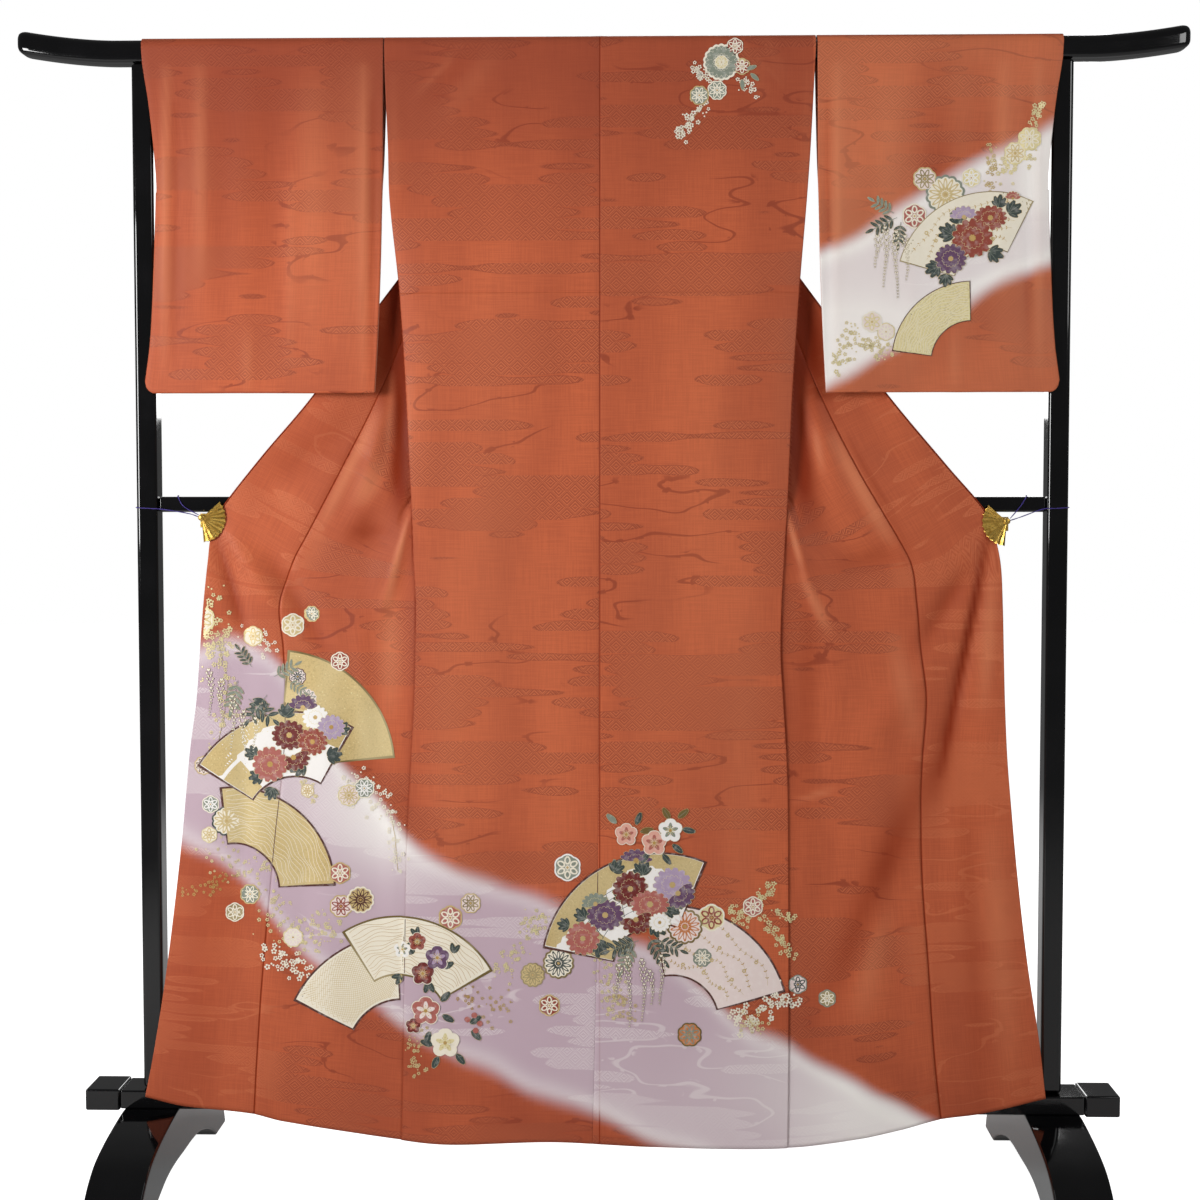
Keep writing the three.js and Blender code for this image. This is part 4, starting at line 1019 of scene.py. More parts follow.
@dataclass
class Kimono:
    """The garment: two body lengths, two overlap strips, two sleeves and the collar band.

    Args:
        step: height of a row of faces, in millimetres.
        under: steps of a front's row behind the back.
        turn: steps round the turned edge.
        out: steps from there to the front seam.
        drape: steps over the rail.
    """
    step: float = 6.5
    under: int = 12
    turn: int = 10
    out: int = 38
    drape: int = 26

    def heights(self, high: float, low: float, extra: Sequence[float] = ()) -> list[float]:
        """Row heights from high down to low, with some more rows where the shape is sharp."""
        count = round((high - low) / self.step)
        rows = {round(lerp(high, low, t), 2) for t in even(count)} | set(extra)
        return sorted(rows, reverse=True)

    # -------------------------------------------------- body

    def back_point(self, side: Side, z: float, share: float) -> Placed:
        """Point of the back at a share of the way from the side seam to the centre seam."""
        here = level(side, z)
        x = lerp(here.side, here.centre - SEAM_MEET, share)
        signed = side.value * x
        place = Vector((signed, -back_depth(side, x, z), z + hem_lift(signed, z)))
        return place, (self.across_cloth(side, x), -(RAIL_Z - z) - QUARTER)

    def across_cloth(self, side: Side, x: float) -> float:
        """Place across the uncut cloth; the right half's figure starts elsewhere than the left's."""
        return side.value * x + (RIGHT_SHIFT if side is Side.RIGHT else 0.0)

    def rail_point(self, side: Side, s: float, share: float) -> Placed:
        """Point over the rail at a share of the way from the sleeve seam inwards."""
        outer = level(side, RAIL_Z).side
        rise = clamp((NECK_END - s) / (NECK_END - NECK_START), -1, 1)
        inner = NECK_HALF * math.sqrt(1 - rise * rise) if s > NECK_START else 0.0
        depth, z = over_rail(s)
        x = lerp(outer, inner + (0.15 if s > NECK_START else -SEAM_MEET), share)
        valley = dip(x, *CENTRE_DIP) if s <= NECK_START else 0.0
        return Vector((side.value * x, -depth + valley, z)), (self.across_cloth(side, x), s)

    def front_point(self, side: Side, z: float, column: int) -> Placed:
        """Point of a front: behind the back, round the turn, then out to the front seam.

        Below the clips the front is opened, and its row runs straight from the side seam outwards.
        In between the two places are blended.

        Args:
            side: side of the garment.
            z: height of the row.
            column: the row's step, from the side seam.

        Returns:
            The place, and the place on the uncut cloth.
        """
        here = level(side, z)
        end = here.seam + SEAM_MEET
        fold = turn_x(z)
        under = max(here.side - fold, 0)
        turn = math.pi * TURN_RADIUS
        turned = clamp((TURN_TOP_Z - z) / 30)
        total = under + max(turn * turned + end - fold, 0)
        first = clamp(under, 2, total - 10)
        second = clamp(under + turn, first + 6, total - 3)
        closed = smooth(z, OPEN_Z, CLOSED_Z)
        # run along the turned front, and share of the way out on the opened one
        q = shares([(first, self.under), (second, self.turn), (total, self.out)])[column]
        part = shares([(0.03, self.under), (0.17, self.turn), (1.0, self.out)])[column]
        sewn = 1 - smooth(z, SEAM_TOP, ARMHOLE)
        deep = here.front + 2 * TURN_RADIUS
        edge = here.join - SEAM_HALF - deep
        open_x = lerp(here.side - SEAM_LAP * smooth(-z, -1000, -940), end, part)
        x = here.side - q
        depth = deep + edge * sewn * math.exp(-q / BACK_SWING)
        if q > under + turn:
            x = fold + q - under - turn
            depth = front_depth(side, x, z)
        elif q > under:
            angle = (q - under) / TURN_RADIUS
            x = fold - TURN_RADIUS * math.sin(angle)
            depth = deep - TURN_RADIUS * (1 - math.cos(angle))
        x = lerp(open_x, x, closed)
        depth = lerp(front_depth(side, open_x, z), depth, closed)
        signed = side.value * x
        place = Vector((signed, -depth, z + hem_lift(signed, z)))
        if q > under + turn or closed < 1:
            return place, front_cloth(side, x, z)
        run, slant = seam_run(side, float(round(z)))
        out = fold - (under + turn - q) - here.seam
        return place, (side.value * (FRONT_SEAM_U + out * math.cos(slant)),
                       40.0 + run + out * math.sin(slant))

    def body(self, side: Side) -> bpy.types.Object:
        """One body length: back, shoulder and front in one piece of cloth."""
        backs = self.heights(FLAT_TOP, HEM_Z, (1300, 1297, 1295.5, 1294.2, 1293.8, 1292, 1289, 1285))[::-1]
        rails = [lerp(-QUARTER, QUARTER, t) for t in even(self.drape)]
        fronts = self.heights(FLAT_TOP, HEM_Z, (1600, 1596, 1592))
        keys = [("back", z) for z in backs] + [("rail", s) for s in rails] + [("front", z) for z in fronts]
        count = self.under + self.turn + self.out
        across = shares([(0.02, 4), (0.93, count - 12), (0.985, 4), (1.0, 4)])

        def point(key: float, column: int) -> Placed:
            """Point of a row by its number."""
            kind, value = keys[int(key)]
            if kind == "back":
                return self.back_point(side, value, across[column])
            if kind == "rail":
                return self.rail_point(side, value, across[column])
            return self.front_point(side, value, column)

        cloth = Cloth(f"kimono_body_{side.word}", list(range(len(keys))), count, point)
        obj = cloth.build(DYEING_AND_SHADE.at, lambda c: Vector((0, -1, 0)) if c.z < 0.9 else Vector((0, 0, 0)))
        return self.finish(obj, f"body_{side.word}", (0.30, 3.22), "hung", ["stand_top_rail"], area=0.83)

    def overlap(self, side: Side) -> bpy.types.Object:
        """Overlap strip sewn to the edge of a front."""
        count = 24
        across = shares([(0.03, 4), (0.97, count - 8), (1.0, 4)])

        def point(z: float, column: int) -> Placed:
            """Point at a height and column."""
            here = level(side, z)
            x = lerp(here.seam - SEAM_MEET, here.edge, across[column])
            signed = side.value * x
            place = Vector((signed, -front_depth(side, x, z), z + hem_lift(signed, z)))
            return place, front_cloth(side, x, z)

        cloth = Cloth(f"kimono_overlap_{side.word}", self.heights(OVERLAP_TOP, HEM_Z), count, point)
        obj = cloth.build(DYEING_AND_SHADE.at, lambda c: Vector((0, -1, 0)))
        return self.finish(obj, f"overlap_{side.word}", (0.17, 1.42), "hung", [], area=0.17 * 1.42 * 0.8)

    # -------------------------------------------------- collar

    def band_inset(self, column: int, width: float) -> float:
        """Distance of a column from the collar's edge: round its roll, then on to its full width."""
        if column <= ROLL_STEPS:
            return COLLAR_LEAD * column / ROLL_STEPS
        return lerp(COLLAR_LEAD, width, (column - ROLL_STEPS) / BAND_STEPS)

    def collar_point(self, side: Side, z: float, column: int) -> Placed:
        """Point of the collar beside a front: at the edge, rolled behind it, then inwards."""
        roll_radius, roll_z, slide_z = 1.9, 1550.0, 1575.0
        slid = 1 - smooth(z, slide_z, TURN_TOP_Z)
        rolled = 1 - smooth(z, roll_z, slide_z)
        edge = level(side, z).edge + 0.8
        width = lerp(NECK_BAND, COLLAR_WIDTH, slid)
        front = front_depth(side, edge, z)
        behind = along(HANG, 2, z) - 2 * roll_radius
        angle = min(column, ROLL_STEPS) * (math.pi / ROLL_STEPS)
        inset = self.band_inset(column, width)
        back = max(inset - COLLAR_LEAD, 0.0)
        rolled_x = edge + roll_radius * math.sin(angle) - back * width / (width - COLLAR_LEAD)
        x = lerp(NECK_HALF - 1.5 - inset, rolled_x, slid)
        near = front - roll_radius * (1 - math.cos(angle)) if column <= ROLL_STEPS else behind
        if column == ROLL_STEPS:
            near = lerp(near, behind, 0.5)
        depth = lerp(behind, near, rolled)
        return Vector((side.value * x, -depth, z)), (inset, 1600 - z + 200)

    def neck_point(self, angle: float, column: int) -> Placed:
        """Point of the collar round the back of the neck."""
        inset = self.band_inset(column, NECK_BAND)
        cos, sin = math.cos(angle), math.sin(angle)
        outer = ((NECK_HALF - 1.5) * cos, NECK_END - (NECK_END - NECK_START) * sin)
        inner = (BAND_INNER * cos, NECK_END - BAND_RISE * sin)
        t = inset / NECK_BAND
        x = lerp(outer[0], inner[0], t)
        s = lerp(outer[1] + 0.75, inner[1], t)
        crown = CROWN * bell(x, CROWN_WIDTH) * math.sin(math.pi * clamp((s + 1) / 34))
        if s <= QUARTER:
            depth, z = over_rail(s, 0.4 + crown)
        else:
            hung = along(HANG, 2, TURN_TOP_Z) - 3.8
            depth = lerp(-(DRAPE_DEPTH + 0.4 + crown), hung, (s - QUARTER) / (NECK_END - QUARTER))
            z = RAIL_Z - (s - QUARTER)
        return Vector((x, -depth, z)), (inset, 170 * angle / math.pi)

    def collar(self) -> bpy.types.Object:
        """Collar band, in one length from clip to clip round the back of the neck."""
        down = self.heights(1600, 982, (1590, 1578, 1570))
        keys = ([(Side.RIGHT, z) for z in reversed(down)] + [(None, a) for a in even(56)[1:-1]]
                + [(Side.LEFT, z) for z in down])

        def point(key: float, column: int) -> Placed:
            """Point of a row by its number."""
            side, value = keys[int(key)]
            return (self.neck_point(value * math.pi, column) if side is None
                    else self.collar_point(side, value, column))

        cloth = Cloth("kimono_collar_band", list(range(len(keys))), ROLL_STEPS + BAND_STEPS, point)
        over_top = 1.61
        # the alpha of 1 paints the whole collar band in the painted shade colour of hollows
        obj = cloth.build(lambda c: (0, 0, 0, 1), lambda c: Vector((0, 0, 1 if c.z > over_top else 0)))
        return self.finish(obj, "collar_band", (0.068, 1.63), "hung", ["stand_top_rail"])

    # -------------------------------------------------- sleeves

    def sleeve_point(self, side: Side, share: float, z: float, far: bool) -> Vector:
        """Point of a sleeve's near or far layer."""
        inner = along(SLEEVE, 1, z)
        x = lerp(inner, along(SLEEVE, 3 if far else 2, z), share)
        wave = 1.2 * math.sin(share * 9 + 1.3) * smooth(1600 - z, 0, 300)
        depth = along(SLEEVE, 5 if far else 4, z) + wave
        if not far:
            signed = side.value * x
            depth += fold_rise(SLEEVE_FOLDS, x, z) + ripple(signed + 300, z, 0.8) * smooth(1625 - z, 0, 60)
            depth -= 0.8 * bell(1.0 - share, 0.012)
        low = SLEEVE_BOTTOM
        from_edge = (1 - share) * (along(SLEEVE, 2, low) - along(SLEEVE, 1, low))
        inset = clamp(SLEEVE_CORNER - from_edge, 0, SLEEVE_CORNER)
        lift = SLEEVE_CORNER - math.sqrt(max(SLEEVE_CORNER ** 2 - inset ** 2, 0))
        return Vector((side.value * x, -depth, z + lift * clamp(1 - (z - low) / CORNER_FADE)))

    def sleeve(self, side: Side) -> bpy.types.Object:
        """Sleeve: a bag of cloth folded over the rail, open at the cuff and along its inner edge."""
        heights = self.heights(1620, 1156, (1437,))[::-1]
        arc = [lerp(-QUARTER, QUARTER, t) for t in even(self.drape)]
        turn = even(8)[1:-1]
        keys = [("near", z) for z in heights] + [("rail", s) for s in arc]
        keys += [("far", z) for z in reversed(heights)] + [("turn", t) for t in turn]
        keys.append(("near", heights[0]))
        count = 56
        across = shares([(0.02, 3), (0.955, count - 11), (0.985, 4), (1.0, 4)])
        length = 0.0
        downs: list[float] = []
        before = self.loop_point(side, keys[0], 0.5)
        for key in keys:
            here = self.loop_point(side, key, 0.5)
            length += (here - before).length
            downs.append(length)
            before = here

        def point(key: float, column: int) -> Placed:
            """Point of the loop by its row number."""
            share = across[column]
            place = self.loop_point(side, keys[int(key)], share)
            return place, (side.value * (1200 + share * 330), downs[int(key)])

        closing_rows = [z for z in heights if z <= CUFF_END]

        def closing(z: float, column: int) -> Placed:
            """Point of the closed outer edge, from the near layer to the far one."""
            near = self.sleeve_point(side, 1.0, z, False)
            far = self.sleeve_point(side, 1.0, z, True)
            bulge = Vector((side.value * 1.2 * math.sin(math.pi * column / 4), 0, 0))
            return near.lerp(far, column / 4) + bulge, (side.value * (1530 + column), z)

        strip = Cloth("closing", closing_rows, 4, closing)
        cloth = Cloth(f"kimono_sleeve_{side.word}", list(range(len(keys))), count, point, (strip,))
        obj = cloth.build(DYEING_AND_SHADE.at, lambda c: Vector((0, -1 if c.y < -0.0249 else 0, 0)))
        return self.finish(obj, f"sleeve_{side.word}", (0.345, 1.03), "hung", ["stand_top_rail"])

    def loop_point(self, side: Side, key: tuple[str, float], share: float) -> Vector:
        """Point of the sleeve's loop round the rail and its bottom."""
        kind, value = key
        if kind in ("near", "far"):
            return self.sleeve_point(side, share, value, kind == "far")
        if kind == "rail":
            depth, z = over_rail(value)
            x = lerp(along(SLEEVE, 1, z), along(SLEEVE, 3 if value > 0 else 2, z), share)
            return Vector((side.value * x, -depth, z))
        near = self.sleeve_point(side, share, SLEEVE_BOTTOM, False)
        far = self.sleeve_point(side, share, SLEEVE_BOTTOM, True)
        middle, radius = (near + far) / 2, (near - far).length / 2
        turn = math.pi * (1 - value)
        return Vector((middle.x, middle.y + radius * -math.cos(turn), middle.z + 3 - radius * math.sin(turn)))

    # -------------------------------------------------- dressing

    def finish(self, obj: bpy.types.Object, node: str, flat: Pair, held: str,
               rests_on: list[str], area: float | None = None) -> bpy.types.Object:
        """Args:
            obj: the cloth surface.
            node: the CAD node it stands for.
            flat: cut width and length, in metres; not used.
            held: how the cloth is held; not used.
            rests_on: what it hangs from; not used.
            area: flat area, where the cut is no rectangle; not used.

        Returns:
            The same object.
        """
        thicken(obj, CLOTH)
        obj.data.materials.append(bpy.data.materials["silk_face"])
        obj.data.materials.append(bpy.data.materials["silk_reverse"])
        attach(obj, "root")
        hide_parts(node)
        log_faces(obj)
        return obj

    def build(self) -> None:
        """Make every cloth piece."""
        for side in Side:
            self.body(side)
            self.overlap(side)
            self.sleeve(side)
        self.collar()


# ------------------------------------------------------------------ figures on the cloth

class Paint(Enum):
    """Dyes, pigments and gold leaf of the figures: name, colour and how metallic it is."""
    GOLD = ("gold_leaf", "#BE9853", 0.4)
    SAND = ("sand_gold", "#CBB27A", 0.25)
    PALE_GOLD = ("pale_gold", "#E3D6A2", 0.25)
    CREAM = ("cream_white", "#E8DFCB", 0.0)
    WHITE = ("shell_white", "#EDE9E4", 0.0)
    BLUSH = ("blush_white", "#E3D2CC", 0.0)
    RED = ("bengala_red", "#68150D", 0.0)
    RUST = ("rust_red", "#8E3A28", 0.0)
    ROSE = ("old_rose", "#A85C52", 0.0)
    PINK = ("petal_pink", "#D9A08E", 0.0)
    PURPLE = ("dull_purple", "#5E3C5C", 0.0)
    LAVENDER = ("lavender", "#A892AC", 0.0)
    SLATE = ("slate_green", "#303C38", 0.0)
    SAGE = ("sage_grey", "#7F8677", 0.0)
    OLIVE = ("olive_line", "#6E5B2C", 0.1)
    BROWN = ("brown_line", "#4E2116", 0.0)
    ORANGE = ("burnt_orange", "#C0733C", 0.0)

    @property
    def slot(self) -> int:
        """Place of the paint in a figure mesh's material list."""
        return list(Paint).index(self)

    def material(self) -> bpy.types.Material:
        """Matt pigment or leaf over the silk's grain, slightly uneven."""
        name, colour, metal = self.value
        material, n, shader = new_material(name, tint(colour))
        place = n.add("TexCoord").outputs["Object"]
        spots = n.noise(place, 420.0 if metal else 160.0, 3.0)
        other = tint("#7A5E28") if metal else tint("#F4F0EA")
        shaded = n.mix(n.range(spots, 0.45, 0.72, 0, 0.28 if metal else 0.16), tint(colour), other)
        drift = n.range(n.noise(place, 13.0, 1.0), 0.38, 0.66, 0.0, 0.4)
        n.feed(shader.inputs["Base Color"], n.mix(drift, shaded, tint("#DDCB9C")) if metal else shaded)
        shader.inputs["Metallic"].default_value = metal
        rough = (0.42, 0.6) if metal else (0.6, 0.72)
        n.feed(shader.inputs["Roughness"], n.range(spots, 0.3, 0.7, *rough))
        n.bump(shader, n.noise(place, 1100.0, 1.0), 0.25)
        return material


@dataclass
class Figures:
    """Figures painted on one part of the cloth, gathered in one thin mesh.

    Shapes are drawn flat, in millimetres along the stand and up, with their layer as the third
    number. drape() then lays them on the cloth.

    Args:
        name: piece name.
        surface: gives the cloth's depth at a point.
        inside: tells whether a point is on the cloth.
        lift: how far the lowest layer stands off the cloth.
        layer_step: how far a layer stands off the one below it.
    """
    name: str
    surface: Callable[[float, float], float]
    inside: Callable[[float, float], bool]
    lift: float = 0.62
    layer_step: float = 0.06

    def __post_init__(self) -> None:
        """Start the mesh."""
        self.bm = bmesh.new()
        self.parts: list[bpy.types.Mesh] = []

    def settle(self, least: int = 500) -> None:
        """Put the drawn shapes aside once there are many, which keeps drawing quick."""
        if len(self.bm.verts) >= least:
            part = bpy.data.meshes.new(f"{self.name}_part")
            self.bm.to_mesh(part)
            self.parts.append(part)
            self.bm.clear()

    def _grid(self, across: int, up: int, place: Callable[[float, float], Pair], paint: Paint,
              layer: float) -> None:
        """Add a grid patch whose points place() puts on the plane."""
        self.settle()
        made = bmesh.ops.create_grid(self.bm, x_segments=across, y_segments=up, size=0.5)
        faces = {face for vert in made["verts"] for face in vert.link_faces}
        for vert in made["verts"]:
            x, z = place(vert.co.x + 0.5, vert.co.y + 0.5)
            vert.co = Vector((x, layer, z))
        for face in faces:
            face.material_index = paint.slot

    def dot(self, x: float, z: float, radius: float, paint: Paint, layer: float, sides: int = 6) -> None:
        """Small flat dot."""
        self.settle()
        made = bmesh.ops.create_circle(self.bm, cap_ends=True, segments=sides, radius=radius)
        face = made["verts"][0].link_faces[0]
        for vert in made["verts"]:
            vert.co = Vector((x + vert.co.x, layer, z + vert.co.y))
        face.material_index = paint.slot

    def disc(self, x: float, z: float, radius: float, paint: Paint, layer: float, lobes: int = 0,
             depth: float = 0.0, turn: float = 0.0) -> None:
        """Disc, or a flower-like outline with round lobes.

        Args:
            x: middle along the stand.
            z: middle height.
            radius: outer radius.
            paint: its paint.
            layer: its layer.
            lobes: number of lobes, or 0 for a plain disc.
            depth: how deep the notches between the lobes are, as a share.
            turn: turn of the outline, in radians.
        """
        def place(u: float, v: float) -> Pair:
            """Polar place."""
            angle = 2 * math.pi * u
            notch = depth * (1 - abs(math.sin(lobes * (angle + turn) / 2))) if lobes else 0.0
            r = radius * (1 - notch) * max(v, 0.001)
            return x + r * math.cos(angle), z + r * math.sin(angle)
        self._grid(max(16, lobes * 5), max(1, math.ceil(radius / 7)), place, paint, layer)

    def petal(self, x: float, z: float, angle: float, start: float, end: float, wide: float, paint: Paint,
              layer: float, squash: float = 1.0) -> None:
        """Petal or leaf between two distances from a middle.

        Args:
            x: middle along the stand.
            z: middle height.
            angle: direction, in radians.
            start: distance of its root.
            end: distance of its tip.
            wide: full width.
            paint: its paint.
            layer: its layer.
            squash: how much the flower is foreshortened upwards.
        """
        cos, sin = math.cos(angle), math.sin(angle)

        def place(u: float, v: float) -> Pair:
            """Place along and across the petal."""
            half = wide / 2 * math.sin(math.pi * clamp(0.06 + 0.86 * v ** 0.85)) ** 0.7
            out, side = lerp(start, end, v), (u - 0.5) * 2 * half
            return x + out * cos - side * sin, z + (out * sin + side * cos) * squash
        self._grid(2, 4, place, paint, layer)

    def line(self, points: Sequence[Pair], width: float, paint: Paint, layer: float) -> None:
        """Line of even width through points."""
        last = len(points) - 1

        def place(u: float, v: float) -> Pair:
            """Place along and across the line."""
            i = round(u * last)
            a, b = points[max(i - 1, 0)], points[min(i + 1, last)]
            dx, dz = b[0] - a[0], b[1] - a[1]
            size = math.hypot(dx, dz) or 1.0
            side = (v - 0.5) * width
            return points[i][0] - dz / size * side, points[i][1] + dx / size * side
        self._grid(last, 1, place, paint, layer)

    def sector(self, x: float, z: float, radii: Pair, angles: Pair,
               paint: Paint, layer: float, wave: float = 0.0) -> None:
        """Part of a ring, such as a fan's paper.

        Args:
            x: pivot along the stand.
            z: pivot height.
            radii: inner and outer radius.
            angles: first and last angle, in degrees.
            paint: its paint.
            layer: its layer.
            wave: size of cloud-like steps on its inner edge.
        """
        low, high = math.radians(angles[0]), math.radians(angles[1])

        def place(u: float, v: float) -> Pair:
            """Polar place."""
            angle = lerp(low, high, u)
            inner = radii[0] + wave * (math.floor(2.6 * math.sin(angle * 5.0 + layer)) * 0.5 + 0.5)
            r = lerp(inner, radii[1], v)
            return x + r * math.cos(angle), z + r * math.sin(angle)
        span = (high - low) * radii[1]
        self._grid(max(4, round(span / 5)), max(1, round((radii[1] - radii[0]) / 6)), place, paint, layer)

    def drape(self) -> bpy.types.Object:
        """Lay everything on the cloth and make the object, without what falls outside the cloth."""
        self.settle(1)
        for part in self.parts:
            self.bm.from_mesh(part)
            bpy.data.meshes.remove(part)
        loose = [v for v in self.bm.verts if not self.inside(v.co.x, v.co.z)]
        bmesh.ops.delete(self.bm, geom=loose, context="VERTS")
        for vert in self.bm.verts:
            x, layer, z = vert.co
            depth = self.surface(x, z) + CLOTH / 2 + self.lift + layer * self.layer_step
            vert.co = Vector((x, -depth, z)) * MM
        bmesh.ops.remove_doubles(self.bm, verts=self.bm.verts, dist=1e-7)
        self.bm.normal_update()
        turned = [f for f in self.bm.faces if f.normal.y > 0]
        bmesh.ops.reverse_faces(self.bm, faces=turned)
        obj = new_object(self.name, self.bm)
        for paint in Paint:
            obj.data.materials.append(bpy.data.materials[paint.value[0]])
        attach(obj, "root")
        log_faces(obj)
        return obj


def skirt_surface(x: float, z: float) -> float:
    """Depth of the cloth's visible side below the sleeves, across back and fronts."""
    side = Side.of(x)
    low = z
    for _ in range(3):
        low = z - hem_lift(x, low)
    low = round(low, 1)
    here = level(side, low)
    out = abs(x)
    if out <= here.side:
        return back_depth(side, out, low) + dip(out - here.centre, *CENTRE_DIP)
    share = smooth(out, here.side + 1.5, here.side + 6)
    front = front_depth(side, max(out, here.side), low) + dip(out - here.seam, *FRONT_DIP)
    return lerp(here.join + SEAM_HALF, front, share)


def seam_x(side: Side, column: int, z: float) -> float:
    """Where a seam runs along the stand at a height of the hanging cloth (1 side seam, 2 front seam)."""
    first = side.value * along(CUT[side], column, z)
    return side.value * along(CUT[side], column, z - hem_lift(first, z))


def on_skirt(x: float, z: float) -> bool:
    """Whether a point lies on the back or an opened front."""
    side = Side.of(x)
    return abs(x) < level(side, round(z - 0.6 * hem_lift(x, z), 1)).edge - 3 if z < 1100 else abs(x) < 290


def on_sleeve(x: float, z: float) -> bool:
    """Whether a point lies on the right sleeve."""
    return along(SLEEVE, 1, z) + 3 < x < along(SLEEVE, 2, z) - 3


def sleeve_surface(x: float, z: float) -> float:
    """Depth of the near layer of the right sleeve."""
    inner, outer = along(SLEEVE, 1, z), along(SLEEVE, 2, z)
    return -KIMONO.sleeve_point(Side.RIGHT, clamp((x - inner) / (outer - inner)), z, False).y


def shoulder_surface(x: float, z: float) -> float:
    """Depth of the back near the shoulder."""
    side = Side.of(x)
    return back_depth(side, abs(x), z) if z < FLAT_TOP else DRAPE_DEPTH


KIMONO = Kimono()


@dataclass
class Flower:
    """A flower or leaf drawn with petals, outlined in gold or cream."""
    x: float
    z: float
    radius: float
    layer: float = 0.0

    def chrysanthemum(self, fig: Figures, paint: Paint, edge: Paint = Paint.PALE_GOLD, petals: int = 14,
                      squash: float = 1.0, turn: float = 0.0, sweep: float = 2 * math.pi) -> None:
        """Chrysanthemum with two rings of petals.

        Args:
            fig: figures to draw in.
            paint: colour of the petals.
            edge: outline of the petals.
            petals: how many petals a full ring has.
            squash: foreshortening.
            turn: first petal's direction.
            sweep: angle that the petals fill, less than a full turn for a flower seen from the side.
        """
        count = max(3, round(petals * sweep / (2 * math.pi)))
        for ring, (reach, root) in enumerate(((1.0, 0.16), (0.56, 0.1))):
            for i in range(count):
                angle = turn + sweep * (i + 0.5 * ring) / count
                start, end = self.radius * root, self.radius * reach
                wide = 2 * math.pi * end / petals * 1.1
                low = self.layer + ring * 1.2 + (i % 2) * 0.3
                self._outlined(fig, angle, start, end, wide, paint, edge, low, squash)
        fig.disc(self.x, self.z, self.radius * 0.17, Paint.GOLD, self.layer + 3.2, lobes=8, depth=0.2)

    def _outlined(self, fig: Figures, angle: float, root: float, tip: float, wide: float, paint: Paint,
                  edge: Paint, layer: float, squash: float) -> None:
        """Petal with its outline under it."""
        line = min(0.36, wide * 0.09)
        fig.petal(self.x, self.z, angle, root, tip, wide, edge, layer, squash)
        fig.petal(self.x, self.z, angle, root + line, tip - line * 1.2, wide - 2 * line, paint,
                  layer + 0.5, squash)

    def around(self, share: float, angle: float) -> Pair:
        """Point at a share of the radius and an angle from the middle."""
        reach = self.radius * share
        return self.x + reach * math.cos(angle), self.z + reach * math.sin(angle)

    def blossom(self, fig: Figures, paint: Paint, inner: Paint, petals: int = 5, turn: float = 0.3) -> None:
        """Open flower with broad petals, a darker heart and gold stamens."""
        for i in range(petals):
            angle = turn + 2 * math.pi * i / petals
            x, z = self.around(0.52, angle)
            low = self.layer + (i % 2) * 0.3
            for size, colour, layer in ((0.50, Paint.CREAM, low), (0.44, paint, low + 0.6)):
                fig.disc(x, z, self.radius * size, colour, layer, lobes=2, depth=0.14, turn=angle)
            fig.petal(self.x, self.z, angle, self.radius * 0.1, self.radius * 0.62, self.radius * 0.3, inner,
                      self.layer + 1.4)
        for i in range(12):
            angle = 2 * math.pi * i / 12
            fig.petal(self.x, self.z, angle, 0.5, self.radius * 0.34, 0.8, Paint.PALE_GOLD, self.layer + 2)
            fig.dot(*self.around(0.36, angle), 0.7, Paint.GOLD, self.layer + 2.3, 5)
        fig.disc(self.x, self.z, self.radius * 0.12, Paint.GOLD, self.layer + 2.6)

    def roundel(self, fig: Figures, rim: Paint, field_: Paint, petal: Paint, petals: int = 6) -> None:
        """Round stylised blossom: scalloped rim, coloured field and outlined petals."""
        r = self.radius
        fig.disc(self.x, self.z, r, rim, self.layer, lobes=petals, depth=0.09)
        fig.disc(self.x, self.z, r * 0.88, field_, self.layer + 0.6, lobes=petals, depth=0.09)
        for i in range(petals):
            angle = 2 * math.pi * (i + 0.5) / petals
            wide = 1.15 * math.pi * r * 0.8 / petals
            fig.petal(self.x, self.z, angle, r * 0.2, r * 0.82, wide, petal, self.layer + 1.2)
            fig.petal(self.x, self.z, angle, r * 0.34, r * 0.70, wide * 0.5, field_, self.layer + 1.8)
        fig.disc(self.x, self.z, r * 0.17, petal, self.layer + 2.2)
        fig.disc(self.x, self.z, r * 0.09, Paint.GOLD, self.layer + 2.6)

    def leaf(self, fig: Figures, angle: float, paint: Paint = Paint.SLATE, wide: float = 0.42) -> None:
        """Leaf with a pale outline and a vein; the radius is its length."""
        r = self.radius
        self._outlined(fig, angle, 0.0, r, r * wide, paint, Paint.SAND, self.layer, 1.0)
        fig.line([(self.x, self.z), self.around(0.8, angle)], 0.45, Paint.SAGE, self.layer + 0.8)

    def lobed_leaf(self, fig: Figures, angle: float) -> None:
        """Chrysanthemum leaf of five blunt lobes."""
        for turn, size in ((-1.0, 0.7), (1.0, 0.7), (-0.5, 0.9), (0.5, 0.9), (0.0, 1.0)):
            lobe = Flower(self.x, self.z, self.radius * size * 1.2, self.layer)
            lobe.leaf(fig, angle + turn, Paint.SLATE, 0.48)

    def frond(self, fig: Figures, angle: float, leaflets: int = 9, paint: Paint = Paint.SLATE) -> None:
        """Feathered leaf: a stem with pairs of leaflets."""
        fig.line([self.around(t, angle) for t in even(5)], 0.7, Paint.SAGE, self.layer + 1)
        for i in range(leaflets):
            t = (i // 2 + 1) / (leaflets // 2 + 1) if i < leaflets - 1 else 1.0
            spread = 0.0 if i == leaflets - 1 else (0.95 if i % 2 else -0.95)
            part = Flower(*self.around(t, angle), self.radius * 0.36, self.layer)
            part.leaf(fig, angle + spread, paint, 0.4)

    def cluster(self, fig: Figures, paint: Paint, petals: int = 5) -> None:
        """Tiny blossom of dots."""
        for i in range(petals):
            angle = 2 * math.pi * i / petals + self.x
            fig.dot(*self.around(0.6, angle), self.radius * 0.36, paint, self.layer, 5)


